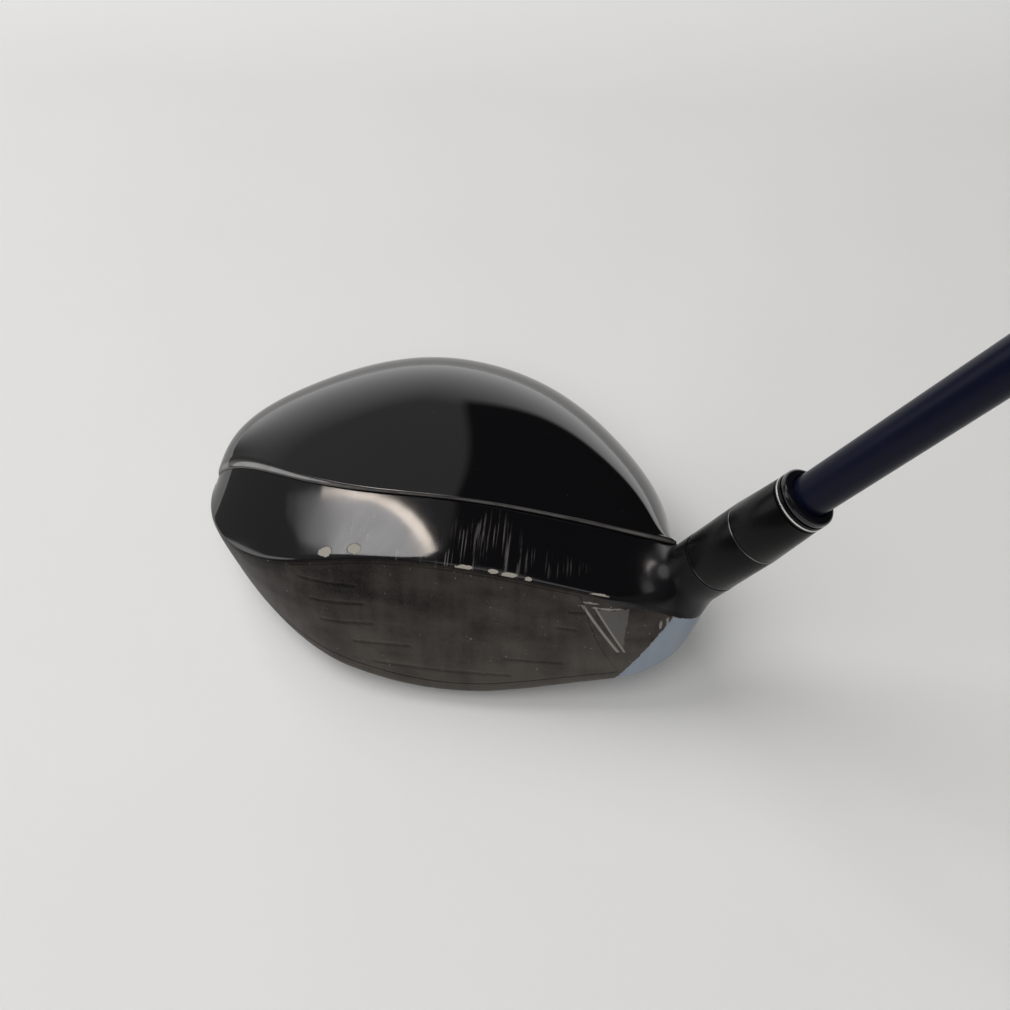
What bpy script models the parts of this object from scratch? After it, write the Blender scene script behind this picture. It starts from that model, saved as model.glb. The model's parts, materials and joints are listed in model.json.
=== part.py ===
# Hybrid golf club in its address pose: sole on the ground, face to -Y, toe to -X, grip up to +X.
# Metres, +Z up. The holding point on the grip is the origin of the finished club.

import math

import bmesh
import bpy
import numpy as np
from mathutils import Matrix, Vector

MM = 0.001

# Pose: the shaft axis meets the ground at the head's own origin and rises at the lie angle toward +X
LIE = math.radians(59.0)
CLUB_LENGTH = 1030.0 * MM
HOLD_DISTANCE = 900.0 * MM

# Pieces that touch keep this clearance, and round pieces have this many sides
CLEARANCE = 0.3 * MM
ROUND_SIDES = 32
TUBE_SIDES = 24

# Ends of the head in plan, in millimetres: toe tip, the section where the neck starts, behind the hosel
TOE_X = -94.0
TOE_Y = 28.0
NECK_X = 2.0
HEEL_X = 18.0
HEEL_Y = 7.0

# Front of the head: rails of points (x, y, z) in millimetres, before the toe is rounded off
TOPLINE = [(TOE_X, -7.5, 28.7), (-79, -6.8, 31.2), (-55, -3.8, 35), (-29, -4.8, 36.6),
           (NECK_X, -9, 35.9)]
LEADING_EDGE = [(TOE_X, -0.8, 14.5), (-67, -11.3, 8.6), (-45, -16.9, 5.2), (-24, -18, 5),
                (NECK_X, -15.2, 10.5)]
RIDGE = [(TOE_X, 28.4, 31), (-85, 24.4, 32.2), (-71, 18.7, 33.8), (-33, 12, 38.5), (4.5, 8, 36.5),
         (HEEL_X, HEEL_Y, 34)]
TOE_TIP_X = TOE_X * MM
TOE_TIP_Y = TOE_Y * MM
TOE_ROUND_START = -54.0 * MM
FACE_ROLL = 0.5 * MM
LEADING_ROUND = 2.5 * MM
TOPLINE_ROUND = 0.8 * MM
CROWN_STEP = 0.9 * MM
LEDGE_DEPTH = 8.0 * MM

# Sole: its lowest line, how it curves up to heel and toe, and how far back the leading edge rolls into it
SOLE_LOW_X = -32.0 * MM
SOLE_CAMBER_RADIUS = 230.0 * MM
SOLE_RUN = 18.0 * MM
SOLE_BELLY = 0.4 * MM
HEEL_LIFT = 4.0 * MM
FRONT_SOLE_RISE = 0.6 * MM

# Rear of the head: plan outline (x, y) in millimetres from the toe tip round the back to behind the hosel
OUTLINE = [(TOE_X, TOE_Y), (-92.4, 41), (-75, 59.6), (-43.8, 71), (-15, 63.2), (6.4, 42.5), (16.2, 23.5),
           (HEEL_X, HEEL_Y)]
SKIRT_HEIGHT = 17.5 * MM
CROWN_TOE_X = TOE_TIP_X + 0.7 * MM
CROWN_HEEL_X = (HEEL_X - 1.6) * MM
CROWN_FULLNESS = 2.3
SOLE_FULLNESS = 2.8

# Walls of the hollow head
CROWN_THICKNESS = 1.4 * MM
SEAT_OVERCUT = 1.2 * MM
RIM_GAP = 0.45 * MM
BAND_WALL = 2.4 * MM
SOLE_WALL = 1.6 * MM
FACE_WALL = 3.0 * MM

# Neck: the section turns about this point from upright until it is square with the shaft
NECK_PIVOT_X = NECK_X * MM
NECK_PIVOT_Z = 46.0 * MM
HEEL_FULLNESS = 0.5
HOSEL_RADIUS = 6.9 * MM
HOSEL_TOP = 45.5 * MM
HOSEL_TUBE_RADIUS = 7.3 * MM
HOSEL_BORE_RADIUS = 5.55 * MM

# Face plate: let into the front, inside the topline, the leading edge and a slanted heel edge
PLATE_THICKNESS = 1.8 * MM
PLATE_TOP_MARGIN = 1.2 * MM
PLATE_LOW_MARGIN = 3.2 * MM
PLATE_TOE_X = -83.0 * MM
PLATE_HEEL_TOP_X = -3.0 * MM
PLATE_HEEL_LOW_X = 7.0 * MM
PLATE_COLUMNS = 22
PLATE_ROWS = 7

# Distances along the shaft axis, measured from the ground
SHELF_BOTTOM = 16.5 * MM
SHELF_TOP = 19.5 * MM
SLEEVE_BOTTOM = 22.0 * MM
THREAD_TOP = 36.0 * MM
SHAFT_TIP = 37.0 * MM
RING_LENGTH = 12.7 * MM
SLEEVE_HEAD_LENGTH = 11.7 * MM
TRIM_LENGTH = 1.4 * MM
FERRULE_LENGTH = 3.6 * MM

# Shaft adapter
SHAFT_TIP_RADIUS = 4.25 * MM
SLEEVE_WALL = 0.7 * MM
RING_RADIUS = 6.85 * MM
SLEEVE_TOP_RADIUS = 6.2 * MM
FERRULE_TOP_RADIUS = 5.75 * MM
KEY_COUNT = 4
KEY_WIDTH = 2.2 * MM
KEY_DEPTH = 0.7 * MM
SLEEVE_KEY_LENGTH = 5.0 * MM
RING_KEY_LENGTH = 3.0 * MM
RING_KEY_DEPTH = 0.45 * MM

# Hosel screw, an M5 screw with a washer and a captive ring
SCREW_RADIUS = 2.1 * MM
SCREW_END = 29.5 * MM
SCREW_HEAD_RADIUS = 4.0 * MM
SCREW_HEAD_HEIGHT = 5.0 * MM
SOCKET_RADIUS = 2.3 * MM
SOCKET_DEPTH = 3.0 * MM
ACCESS_RADIUS = 4.8 * MM
WASHER_RADIUS = 4.3 * MM
WASHER_THICKNESS = 1.0 * MM
RETAINER_RADIUS = 4.4 * MM
RETAINER_THICKNESS = 1.5 * MM

# Sole weight, screwed into a boss behind the middle of the sole
WEIGHT_X = -38.0 * MM
WEIGHT_Y = 46.0 * MM
WEIGHT_RADIUS = 6.0 * MM
WEIGHT_HEIGHT = 4.5 * MM
WEIGHT_RECESS = 2.6 * MM
BOSS_WALL = 2.0 * MM
BOSS_FLOOR = 1.8 * MM
DRIVE_RADIUS = 2.6 * MM
DRIVE_DEPTH = 2.2 * MM

# Shaft and grip
SHAFT_WALL = 1.0 * MM
SHAFT_TIP_PARALLEL = 100.0 * MM
SHAFT_BUTT_RADIUS = 7.6 * MM
PLUG_LENGTH = 6.0 * MM
GRIP_LENGTH = 265.0 * MM
GRIP_LIP_WALL = 2.2 * MM
GRIP_BUTT_RADIUS = 13.3 * MM
TAPE_THICKNESS = 0.5 * MM
TAPE_MARGIN = 6.0 * MM
GRIP_SWELL = 1.15
GRIP_STEPS = 7
CAP_RADIUS = 14.6 * MM
CAP_EDGE_STEPS = 7
CAP_THICKNESS = 5.0 * MM
VENT_RADIUS = 1.6 * MM

# Stations of the lofts
TOE_STATIONS = 24
NECK_STATIONS = 12
DOME_STATIONS = 30
DOME_STEPS = 9
FACE_POINTS = 7
BAND_POINTS = 8
BACK_POINTS = 4
SOLE_POINTS = 8
RIDGE_SPACING = 1.4
TOE_CAP_X = TOE_TIP_X + 0.2 * MM
CAVITY_TOE_X = TOE_TIP_X + 9.0 * MM
CAVITY_HEEL_X = NECK_PIVOT_X - 8.0 * MM
CAVITY_NECK_TURN = 0.2
SOLE_SPACING = 1.5
FACE_START_ANGLE = math.radians(225.0)
OUTLINE_STEP = 0.002
STATION_STEP = 0.01
HOSEL_STATION = 3.0

# Mesh settings
SHARP_ANGLE = math.radians(30.0)
MERGE_DISTANCE = 0.001 * MM
HEX_SIDES = 6
LIP_STEPS = 5


def clear_scene():
    for item in list(bpy.data.objects):
        bpy.data.objects.remove(item, do_unlink=True)


def shaft_direction():
    return np.array([math.cos(LIE), 0.0, math.sin(LIE)])


# Small geometry helpers

def cubic(knots, values, at):
    # natural cubic curve through the knots, straight beyond the ends
    x = np.asarray(knots, float)
    y = np.asarray(values, float)
    step = np.diff(x)
    slope = np.diff(y) / step
    count = len(x)
    system = np.eye(count)
    bend = np.zeros(count)
    for i in range(1, count - 1):
        system[i, i - 1:i + 2] = step[i - 1], 2 * (step[i - 1] + step[i]), step[i]
        bend[i] = 6 * (slope[i] - slope[i - 1])
    curve = np.linalg.solve(system, bend)
    i = int(np.clip(np.searchsorted(x, at) - 1, 0, count - 2))
    near = (x[i + 1] - at) / step[i]
    far = (at - x[i]) / step[i]
    lift = (near ** 3 - near) * curve[i] + (far ** 3 - far) * curve[i + 1]
    return near * y[i] + far * y[i + 1] + lift * step[i] ** 2 / 6


def rail_at(rail, x):
    # height and depth of a rail at x, in metres
    points = np.array(rail, float) * MM
    return np.array([cubic(points[:, 0], points[:, 1], x), cubic(points[:, 0], points[:, 2], x)])


def toe_share(x):
    # 1 along the head, falling to 0 at the toe tip like a quarter ellipse
    reach = max(TOE_ROUND_START - x, 0.0) / (TOE_ROUND_START - TOE_TIP_X)
    return math.sqrt(max(1.0 - reach ** 2, 0.0))


def rounded_to_toe(x, point):
    tip = np.array([TOE_TIP_Y, SKIRT_HEIGHT])
    return tip + (np.asarray(point) - tip) * toe_share(x)


def sole_height(x):
    # an arc from toe to heel, which lifts faster behind the neck
    behind = max(x / MM - NECK_X, 0.0) / (HEEL_X - NECK_X)
    return (x - SOLE_LOW_X) ** 2 / (2 * SOLE_CAMBER_RADIUS) - SOLE_BELLY + HEEL_LIFT * behind ** 2


def arc_blend(before, corner, after, size):
    # three points that round a corner between its neighbours
    start = corner + (before - corner) * min(size / np.linalg.norm(before - corner), 0.5)
    end = corner + (after - corner) * min(size / np.linalg.norm(after - corner), 0.5)
    middle = 0.25 * start + 0.5 * corner + 0.25 * end
    return [start, middle, end]


# Front of the head: one section at x, as points (y, z) up the face, back over the band, down and forward

def section_corners(x, wall):
    face, top, sole = (FACE_WALL, BAND_WALL, SOLE_WALL) if wall else (0.0, 0.0, 0.0)
    lead = rounded_to_toe(x, rail_at(LEADING_EDGE, x))
    crest = rounded_to_toe(x, rail_at(TOPLINE, x))
    ridge = rounded_to_toe(x, rail_at(RIDGE, x)) - np.array([0.0, CROWN_STEP + top])
    behind = rail_at(RIDGE, x)[0] + LEDGE_DEPTH * (2 if wall else 1)
    back, floor = rounded_to_toe(x, [behind, sole_height(x) + SOLE_BELLY + FRONT_SOLE_RISE])
    rake = (crest - lead) / np.linalg.norm(crest - lead)
    inward = np.array([rake[1], -rake[0]])
    lead = lead + inward * face + rake * (sole / rake[1])
    crest = crest + inward * face - rake * (top / rake[1])
    return lead, crest, ridge, back, floor + sole


def front_section(x, wall=False):
    lead, crest, ridge, back, floor = section_corners(x, wall)
    normal = np.array([-(crest - lead)[1], (crest - lead)[0]])
    normal = normal / np.linalg.norm(normal)
    face = []
    for q in np.linspace(0, 1, FACE_POINTS):
        face.append(lead + (crest - lead) * q + normal * FACE_ROLL * 4 * q * (1 - q))
    band = []
    for q in np.linspace(0, 1, BAND_POINTS):
        y = crest[0] + (back - crest[0]) * q
        rise = min((y - crest[0]) / (ridge[0] - crest[0]), 1.0)
        band.append(np.array([y, crest[1] + (ridge[1] - crest[1]) * (1 - (1 - rise) ** 2)]))
    sole = []
    for q in np.linspace(1, 0, SOLE_POINTS):
        y = lead[0] + (back - lead[0]) * q ** SOLE_SPACING
        run = max(1 - (y - lead[0]) / SOLE_RUN, 0.0)
        sole.append(np.array([y, floor + (lead[1] - floor) * run ** 2]))
    rear = [band[-1] + (sole[0] - band[-1]) * q for q in np.linspace(0, 1, BACK_POINTS)]
    low = arc_blend(sole[-2], lead, face[1], LEADING_ROUND)
    high = arc_blend(face[-2], crest, band[1], TOPLINE_ROUND)
    return [low[1:] + face[1:-1] + high[:2], high[2:] + band[1:-1], rear[:-1], sole[:-1] + low[:1]]


def hosel_circle(sides, radius):
    # as many points as each side has, a quarter of the circle for each side, in the same order
    points = []
    for number, side in enumerate(sides):
        for step in range(len(side)):
            angle = FACE_START_ANGLE - math.pi / 2 * (number + step / len(side))
            points.append((radius * math.cos(angle), radius * math.sin(angle)))
    return np.array(points)


def neck_ring(turn, wall):
    # section turned about the neck pivot; turn 0 is upright, 1 is square with the shaft
    sides = front_section(NECK_PIVOT_X, wall)
    flat = np.array([point for side in sides for point in side]) - np.array([0.0, NECK_PIVOT_Z])
    drop = NECK_PIVOT_Z * math.cos(LIE) - NECK_PIVOT_X * math.sin(LIE)
    circle = hosel_circle(sides, HOSEL_RADIUS)
    low = 0.5 - 0.5 * circle[:, 1:] / HOSEL_RADIUS
    ease = turn * turn * (3 - 2 * turn)
    share = ease ** (1 + HEEL_FULLNESS * low)
    mixed = flat * (1 - share) + (circle - np.array([0.0, drop])) * share
    angle = LIE * turn
    up = np.array([-math.sin(angle), 0.0, math.cos(angle)])
    pivot = np.array([NECK_PIVOT_X, 0.0, NECK_PIVOT_Z])
    return pivot + mixed[:, :1] * np.array([0.0, 1.0, 0.0]) + mixed[:, 1:] * up


def front_ring(station, wall=False):
    # station 0 to 1 runs from the toe tip to the neck, 1 to 2 turns up the neck, 2 to 3 goes up the hosel
    if station <= 1:
        x = TOE_TIP_X + (NECK_PIVOT_X - TOE_TIP_X) * (1 - math.cos(station * math.pi / 2))
        points = np.array([point for side in front_section(x, wall) for point in side])
        return np.column_stack([np.full(len(points), x), points])
    ring = neck_ring(min(station - 1, 1.0), wall)
    if station > 2:
        start = NECK_PIVOT_X * math.cos(LIE) + NECK_PIVOT_Z * math.sin(LIE)
        ring = ring + shaft_direction() * (HOSEL_TOP - start) * (station - 2)
    return ring


# Rear of the head: straight lines in plan from the ridge to the outline, arched above and below

def ridge_share(x):
    # the share of the ridge that lies on the toe side of x, closer spaced toward the toe tip
    return ((x - TOE_TIP_X) / (HEEL_X * MM - TOE_TIP_X)) ** (1 / RIDGE_SPACING)


def ridge_point(share):
    x = TOE_TIP_X + (HEEL_X * MM - TOE_TIP_X) * share ** RIDGE_SPACING
    y, z = rounded_to_toe(x, rail_at(RIDGE, x))
    return np.array([x, y, z])


def outline_point(share, inset):
    points = np.array(OUTLINE, float) * MM
    run = np.concatenate([[0.0], np.cumsum(np.linalg.norm(np.diff(points, axis=0), axis=1))])
    run = run / run[-1]

    def at(value):
        return np.array([cubic(run, points[:, 0], value), cubic(run, points[:, 1], value)])

    ahead = at(share + OUTLINE_STEP) - at(share - OUTLINE_STEP)
    outward = np.array([-ahead[1], ahead[0]]) / np.linalg.norm(ahead)
    return at(share) - outward * inset


def dome_point(share, bow, inset, over, start=0.0, sink=0.0):
    # bow runs from 0 at the ridge to a quarter turn at the outline; start moves the first line back,
    # and sink lowers the rim of the part above the skirt
    ridge = ridge_point(share)
    fullness = CROWN_FULLNESS if over else SOLE_FULLNESS
    reach = math.sin(bow) ** (2 / fullness)
    arch = math.cos(bow) ** (2 / fullness)
    near = ridge[:2] + np.array([0.0, start])
    plan = near + (outline_point(share, inset) - near) * reach
    if over:
        rim = SKIRT_HEIGHT - sink
        return np.array([*plan, rim + max(ridge[2] - inset - rim, 0.0) * arch])
    floor = rounded_to_toe(ridge[0], [0.0, sole_height(ridge[0])])[1] + inset
    return np.array([*plan, SKIRT_HEIGHT - (SKIRT_HEIGHT - floor) * arch])


# Blender helpers

def material(name, colour, roughness, metallic):
    made = bpy.data.materials.new(name)
    made.use_nodes = True
    shader = made.node_tree.nodes["Principled BSDF"]
    shader.inputs["Base Color"].default_value = (*colour, 1.0)
    shader.inputs["Roughness"].default_value = roughness
    shader.inputs["Metallic"].default_value = metallic
    return made


def to_object(name, mesh_maker, finish=None):
    # new object from a bmesh, with its faces pointing out and its round faces shaded smooth
    bmesh.ops.remove_doubles(mesh_maker, verts=mesh_maker.verts, dist=MERGE_DISTANCE)
    bmesh.ops.recalc_face_normals(mesh_maker, faces=mesh_maker.faces)
    mesh = bpy.data.meshes.new(name)
    mesh_maker.to_mesh(mesh)
    mesh_maker.free()
    mesh.shade_smooth()
    mesh.set_sharp_from_angle(angle=SHARP_ANGLE)
    made = bpy.data.objects.new(name, mesh)
    bpy.context.scene.collection.objects.link(made)
    if finish:
        mesh.materials.append(finish)
    else:
        made.hide_render = True
        made.display_type = "WIRE"
    return made


def loft(name, rings, finish=None):
    # closed skin over rings of equal length, with a flat cap on the first and the last
    maker = bmesh.new()
    rows = [[maker.verts.new(point) for point in ring] for ring in rings]
    for row, after in zip(rows, rows[1:]):
        for i in range(len(row)):
            j = (i + 1) % len(row)
            maker.faces.new((row[i], row[j], after[j], after[i]))
    maker.faces.new(rows[0])
    maker.faces.new(rows[-1])
    return to_object(name, maker, finish)


def turned(name, profile, sides, finish=None):
    # closed profile of (radius, height) spun about the local Z axis, with no edge along the axis itself
    maker = bmesh.new()
    verts = [maker.verts.new((radius, 0.0, height)) for radius, height in profile]
    pairs = [(verts[i - 1], verts[i]) for i in range(len(verts))]
    edges = [maker.edges.new(pair) for pair in pairs if pair[0].co.x + pair[1].co.x > 0]
    bmesh.ops.spin(maker, geom=verts + edges, cent=(0, 0, 0), axis=(0, 0, 1), angle=2 * math.pi,
                   steps=sides, use_merge=True)
    return to_object(name, maker, finish)


def blocks_round(name, radii, heights, width, finish=None):
    # equal blocks set round the local Z axis, one for each key
    maker = bmesh.new()
    size = Matrix.Diagonal((radii[1] - radii[0], width, heights[1] - heights[0], 1.0))
    middle = Matrix.Translation(((radii[0] + radii[1]) / 2, 0.0, (heights[0] + heights[1]) / 2))
    for number in range(KEY_COUNT):
        turn = Matrix.Rotation(2 * math.pi * number / KEY_COUNT, 4, "Z")
        bmesh.ops.create_cube(maker, size=1.0, matrix=turn @ middle @ size)
    return to_object(name, maker, finish)


def boolean(target, other, operation):
    step = target.modifiers.new(f"{operation.lower()} {other.name}", "BOOLEAN")
    step.operation = operation
    step.solver = "EXACT"
    step.object = other


def on_axis(item, distance=0.0):
    # stand a turned piece on the shaft axis, its own Z along the shaft
    item.location = Vector(shaft_direction() * distance)
    item.rotation_euler = (0.0, math.pi / 2 - LIE, 0.0)
    return item


def rod(name, radius, low, high, sides):
    return turned(name, [(0.0, low), (0.0, high), (radius, high), (radius, low)], sides)


# Head pieces

def station_at(x):
    # station of the front loft whose section passes x at the height of the leading edge
    if x <= NECK_PIVOT_X:
        return math.acos(1 - (x - TOE_TIP_X) / (NECK_PIVOT_X - TOE_TIP_X)) * 2 / math.pi
    low = rail_at(LEADING_EDGE, NECK_PIVOT_X)[1]
    return 1 + math.atan2(x - NECK_PIVOT_X, NECK_PIVOT_Z - low) / LIE


def front_loft(name, first, last, wall, finish=None):
    head = np.linspace(first, 1.0, TOE_STATIONS)
    neck = np.linspace(1.0, min(last, 2.0), NECK_STATIONS)[1:]
    hosel = [last] if last > 2 else []
    return loft(name, [front_ring(station, wall) for station in [*head, *neck, *hosel]], finish)


def dome_bows():
    return np.linspace(0.0, math.pi / 2, DOME_STEPS)


def rear_bowl(name, inset, lid_height, start, first_x, last_x):
    # the head below its skirt, behind the ridge, filled up to a flat lid
    rings = []
    for share in np.linspace(ridge_share(first_x), ridge_share(last_x), DOME_STATIONS):
        low = [dome_point(share, bow, inset, False, start) for bow in dome_bows()]
        low = [np.array([*point[:2], min(point[2], lid_height)]) for point in low]
        lid = [np.array([*point[:2], lid_height]) for point in reversed(low)]
        rings.append(low + lid)
    return loft(name, rings)


def crown_shell(name, outer, inner, sink, grow, finish=None):
    # skin between two insets of the dome, its rim sunk below the skirt and its edges grown outward
    rings = []
    toe = ridge_share(CROWN_TOE_X - grow)
    heel = ridge_share(CROWN_HEEL_X + grow)
    for share in np.linspace(toe, heel, DOME_STATIONS):
        over = [dome_point(share, bow, outer, True, -grow, sink) for bow in dome_bows()]
        under = [dome_point(share, bow, inner, True, -grow, sink) for bow in reversed(dome_bows())]
        rings.append(over + under)
    return loft(name, rings, finish)


def make_crown(finish):
    return crown_shell("crown", 0.0, CROWN_THICKNESS, 0.0, 0.0, finish)


def face_line(station):
    # the flat run of the face at a station, leading edge to topline, with the way into the head
    ring = front_ring(station)
    line = ring[1:FACE_POINTS + 1]
    along = front_ring(station + STATION_STEP)[2] - front_ring(station - STATION_STEP)[2]
    inward = np.cross(line[-1] - line[0], along)
    return line, inward / np.linalg.norm(inward)


def face_point(station, low_margin, top_margin, height, depth):
    # point on the face, height 0 to 1 between the two margins, sunk into the head by depth
    line, inward = face_line(station)
    run = np.concatenate([[0.0], np.cumsum(np.linalg.norm(np.diff(line, axis=0), axis=1))])
    place = low_margin + (run[-1] - low_margin - top_margin) * height
    return np.array([np.interp(place, run, line[:, axis]) for axis in range(3)]) + inward * depth


def plate_slab(name, grow, front, back, finish=None):
    # slab that follows the face between its margins, its edges grown outward, from front to back depth
    low = PLATE_LOW_MARGIN - LEADING_ROUND - grow
    top = PLATE_TOP_MARGIN - TOPLINE_ROUND - grow
    toe = station_at(PLATE_TOE_X - grow)
    rings = []
    for across in np.linspace(0.0, 1.0, PLATE_COLUMNS):
        outer = []
        inner = []
        for height in np.linspace(0.0, 1.0, PLATE_ROWS):
            heel_x = PLATE_HEEL_LOW_X + (PLATE_HEEL_TOP_X - PLATE_HEEL_LOW_X) * height + grow
            station = toe + (station_at(heel_x) - toe) * across
            outer.append(face_point(station, low, top, height, front))
            inner.append(face_point(station, low, top, height, back))
        rings.append(outer + inner[::-1])
    return loft(name, rings, finish)


def make_face_plate(finish):
    return plate_slab("face_plate", 0.0, 0.0, PLATE_THICKNESS, finish)


def weight_rod(name, radius, high):
    made = rod(name, radius, -SKIRT_HEIGHT, high, ROUND_SIDES)
    made.location = (WEIGHT_X, WEIGHT_Y, 0.0)
    return made


def hollow_head(body):
    # front and rear hollows, less the hosel tube and the weight's boss that stand in them
    front = front_loft("front_hollow", station_at(CAVITY_TOE_X), 1.0 + CAVITY_NECK_TURN, True)
    tube = rod("hosel_tube", HOSEL_TUBE_RADIUS, -SKIRT_HEIGHT, HOSEL_TOP, ROUND_SIDES)
    boolean(front, on_axis(tube), "DIFFERENCE")
    lid = SKIRT_HEIGHT + SOLE_WALL
    rear = rear_bowl("rear_hollow", SOLE_WALL, lid, LEDGE_DEPTH, CAVITY_TOE_X, CAVITY_HEEL_X)
    top = WEIGHT_RECESS + WEIGHT_HEIGHT + CLEARANCE
    boss = weight_rod("weight_boss", WEIGHT_RADIUS + CLEARANCE + BOSS_WALL, top + BOSS_FLOOR)
    boolean(rear, boss, "DIFFERENCE")
    boolean(body, front, "DIFFERENCE")
    boolean(body, rear, "DIFFERENCE")
    boolean(body, weight_rod("weight_port", WEIGHT_RADIUS + CLEARANCE, top), "DIFFERENCE")


def bore_hosel(body):
    # stepped bore: tool access from the sole, screw hole through the shelf, sleeve bore, the ring's key slots
    above = HOSEL_TOP + HOSEL_RADIUS
    hole = SCREW_RADIUS + CLEARANCE
    profile = [(0.0, -SKIRT_HEIGHT), (0.0, above), (HOSEL_BORE_RADIUS, above),
               (HOSEL_BORE_RADIUS, SHELF_TOP), (hole, SHELF_TOP), (hole, SHELF_BOTTOM),
               (ACCESS_RADIUS, SHELF_BOTTOM), (ACCESS_RADIUS, -SKIRT_HEIGHT)]
    boolean(body, on_axis(turned("hosel_bore", profile, ROUND_SIDES)), "DIFFERENCE")
    slot_radii = (SHAFT_TIP_RADIUS, HOSEL_BORE_RADIUS + RING_KEY_DEPTH + CLEARANCE)
    slot_heights = (HOSEL_TOP - RING_KEY_LENGTH, above)
    slots = blocks_round("ring_key_slots", slot_radii, slot_heights, KEY_WIDTH + 2 * CLEARANCE)
    boolean(body, on_axis(slots), "DIFFERENCE")


def flatten_sole(body):
    # the sole's belly is ground flat where the club rests
    maker = bmesh.new()
    reach = Matrix.Diagonal((-2 * TOE_TIP_X, -2 * TOE_TIP_X, SKIRT_HEIGHT, 1.0))
    bmesh.ops.create_cube(maker, size=1.0, matrix=Matrix.Translation((0, 0, -SKIRT_HEIGHT / 2)) @ reach)
    boolean(body, to_object("ground", maker), "DIFFERENCE")


def make_head_body(finish):
    body = front_loft("head_body", station_at(TOE_CAP_X), HOSEL_STATION, False, finish)
    rear = rear_bowl("rear_solid", 0.0, SKIRT_HEIGHT - RIM_GAP, 0.0, TOE_CAP_X, CROWN_HEEL_X)
    boolean(body, rear, "UNION")
    under = CROWN_THICKNESS + CLEARANCE
    seat = crown_shell("crown_seat", -SEAT_OVERCUT, under, CLEARANCE, CLEARANCE)
    boolean(body, seat, "DIFFERENCE")
    hollow_head(body)
    bore_hosel(body)
    pocket = PLATE_THICKNESS + CLEARANCE
    boolean(body, plate_slab("plate_pocket", CLEARANCE, -FACE_WALL, pocket), "DIFFERENCE")
    flatten_sole(body)
    return body


def make_sole_weight(finish):
    high = WEIGHT_RECESS + WEIGHT_HEIGHT
    profile = [(0.0, WEIGHT_RECESS), (0.0, high), (WEIGHT_RADIUS, high), (WEIGHT_RADIUS, WEIGHT_RECESS)]
    weight = turned("sole_weight", profile, ROUND_SIDES, finish)
    weight.location = (WEIGHT_X, WEIGHT_Y, 0.0)
    drive = rod("weight_drive", DRIVE_RADIUS, 0.0, WEIGHT_RECESS + DRIVE_DEPTH, HEX_SIDES)
    drive.location = weight.location
    boolean(weight, drive, "DIFFERENCE")
    return weight


# Screw and adapter, turned about the shaft axis

def make_hosel_screw(finish):
    head_top = SHELF_BOTTOM - WASHER_THICKNESS - 2 * CLEARANCE
    head_low = head_top - SCREW_HEAD_HEIGHT
    profile = [(0.0, head_low), (0.0, SCREW_END), (SCREW_RADIUS, SCREW_END), (SCREW_RADIUS, head_top),
               (SCREW_HEAD_RADIUS, head_top), (SCREW_HEAD_RADIUS, head_low)]
    screw = on_axis(turned("hosel_screw", profile, TUBE_SIDES, finish))
    socket = rod("screw_socket", SOCKET_RADIUS, 0.0, head_low + SOCKET_DEPTH, HEX_SIDES)
    boolean(screw, on_axis(socket), "DIFFERENCE")
    return screw


def collar(name, inner, outer, low, high, sides, finish):
    return on_axis(turned(name, [(inner, low), (inner, high), (outer, high), (outer, low)], sides, finish))


def make_screw_washer(finish):
    high = SHELF_BOTTOM - CLEARANCE
    inner = SCREW_RADIUS + CLEARANCE
    return collar("screw_washer", inner, WASHER_RADIUS, high - WASHER_THICKNESS, high, TUBE_SIDES, finish)


def make_screw_retainer(finish):
    low = SHELF_TOP + CLEARANCE
    inner = SCREW_RADIUS + CLEARANCE
    high = low + RETAINER_THICKNESS
    return collar("screw_retainer", inner, RETAINER_RADIUS, low, high, TUBE_SIDES, finish)


def ring_span():
    low = HOSEL_TOP + CLEARANCE
    return low, low + RING_LENGTH


def sleeve_radius():
    return SHAFT_TIP_RADIUS + CLEARANCE + SLEEVE_WALL


def sleeve_shoulder():
    return ring_span()[1] + CLEARANCE


def sleeve_top():
    return sleeve_shoulder() + SLEEVE_HEAD_LENGTH


def make_adapter_ring(finish):
    low, high = ring_span()
    ring = collar("adapter_ring", HOSEL_BORE_RADIUS, RING_RADIUS, low, high, ROUND_SIDES, finish)
    key_radii = (HOSEL_BORE_RADIUS, HOSEL_BORE_RADIUS + RING_KEY_DEPTH)
    key_heights = (low - RING_KEY_LENGTH + CLEARANCE, low + CLEARANCE)
    keys = blocks_round("ring_keys", key_radii, key_heights, KEY_WIDTH)
    boolean(ring, on_axis(keys), "UNION")
    slot_radii = (SHAFT_TIP_RADIUS, sleeve_radius() + KEY_DEPTH + CLEARANCE)
    slot_heights = (high - SLEEVE_KEY_LENGTH - CLEARANCE, high + RING_LENGTH)
    slots = blocks_round("sleeve_key_slots", slot_radii, slot_heights, KEY_WIDTH + 2 * CLEARANCE)
    boolean(ring, on_axis(slots), "DIFFERENCE")
    return ring


def make_adapter_sleeve(finish):
    shoulder = sleeve_shoulder()
    top = sleeve_top()
    tube = sleeve_radius()
    thread = SCREW_RADIUS + CLEARANCE
    bore = SHAFT_TIP_RADIUS + CLEARANCE
    profile = [(thread, SLEEVE_BOTTOM), (thread, THREAD_TOP), (bore, THREAD_TOP), (bore, top),
               (SLEEVE_TOP_RADIUS, top), (RING_RADIUS, shoulder), (tube, shoulder), (tube, SLEEVE_BOTTOM)]
    sleeve = on_axis(turned("adapter_sleeve", profile, ROUND_SIDES, finish))
    key_radii = (tube - SLEEVE_WALL / 2, tube + KEY_DEPTH)
    key_heights = (shoulder - SLEEVE_KEY_LENGTH, shoulder + CLEARANCE)
    keys = blocks_round("sleeve_keys", key_radii, key_heights, KEY_WIDTH)
    boolean(sleeve, on_axis(keys), "UNION")
    return sleeve


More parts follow.
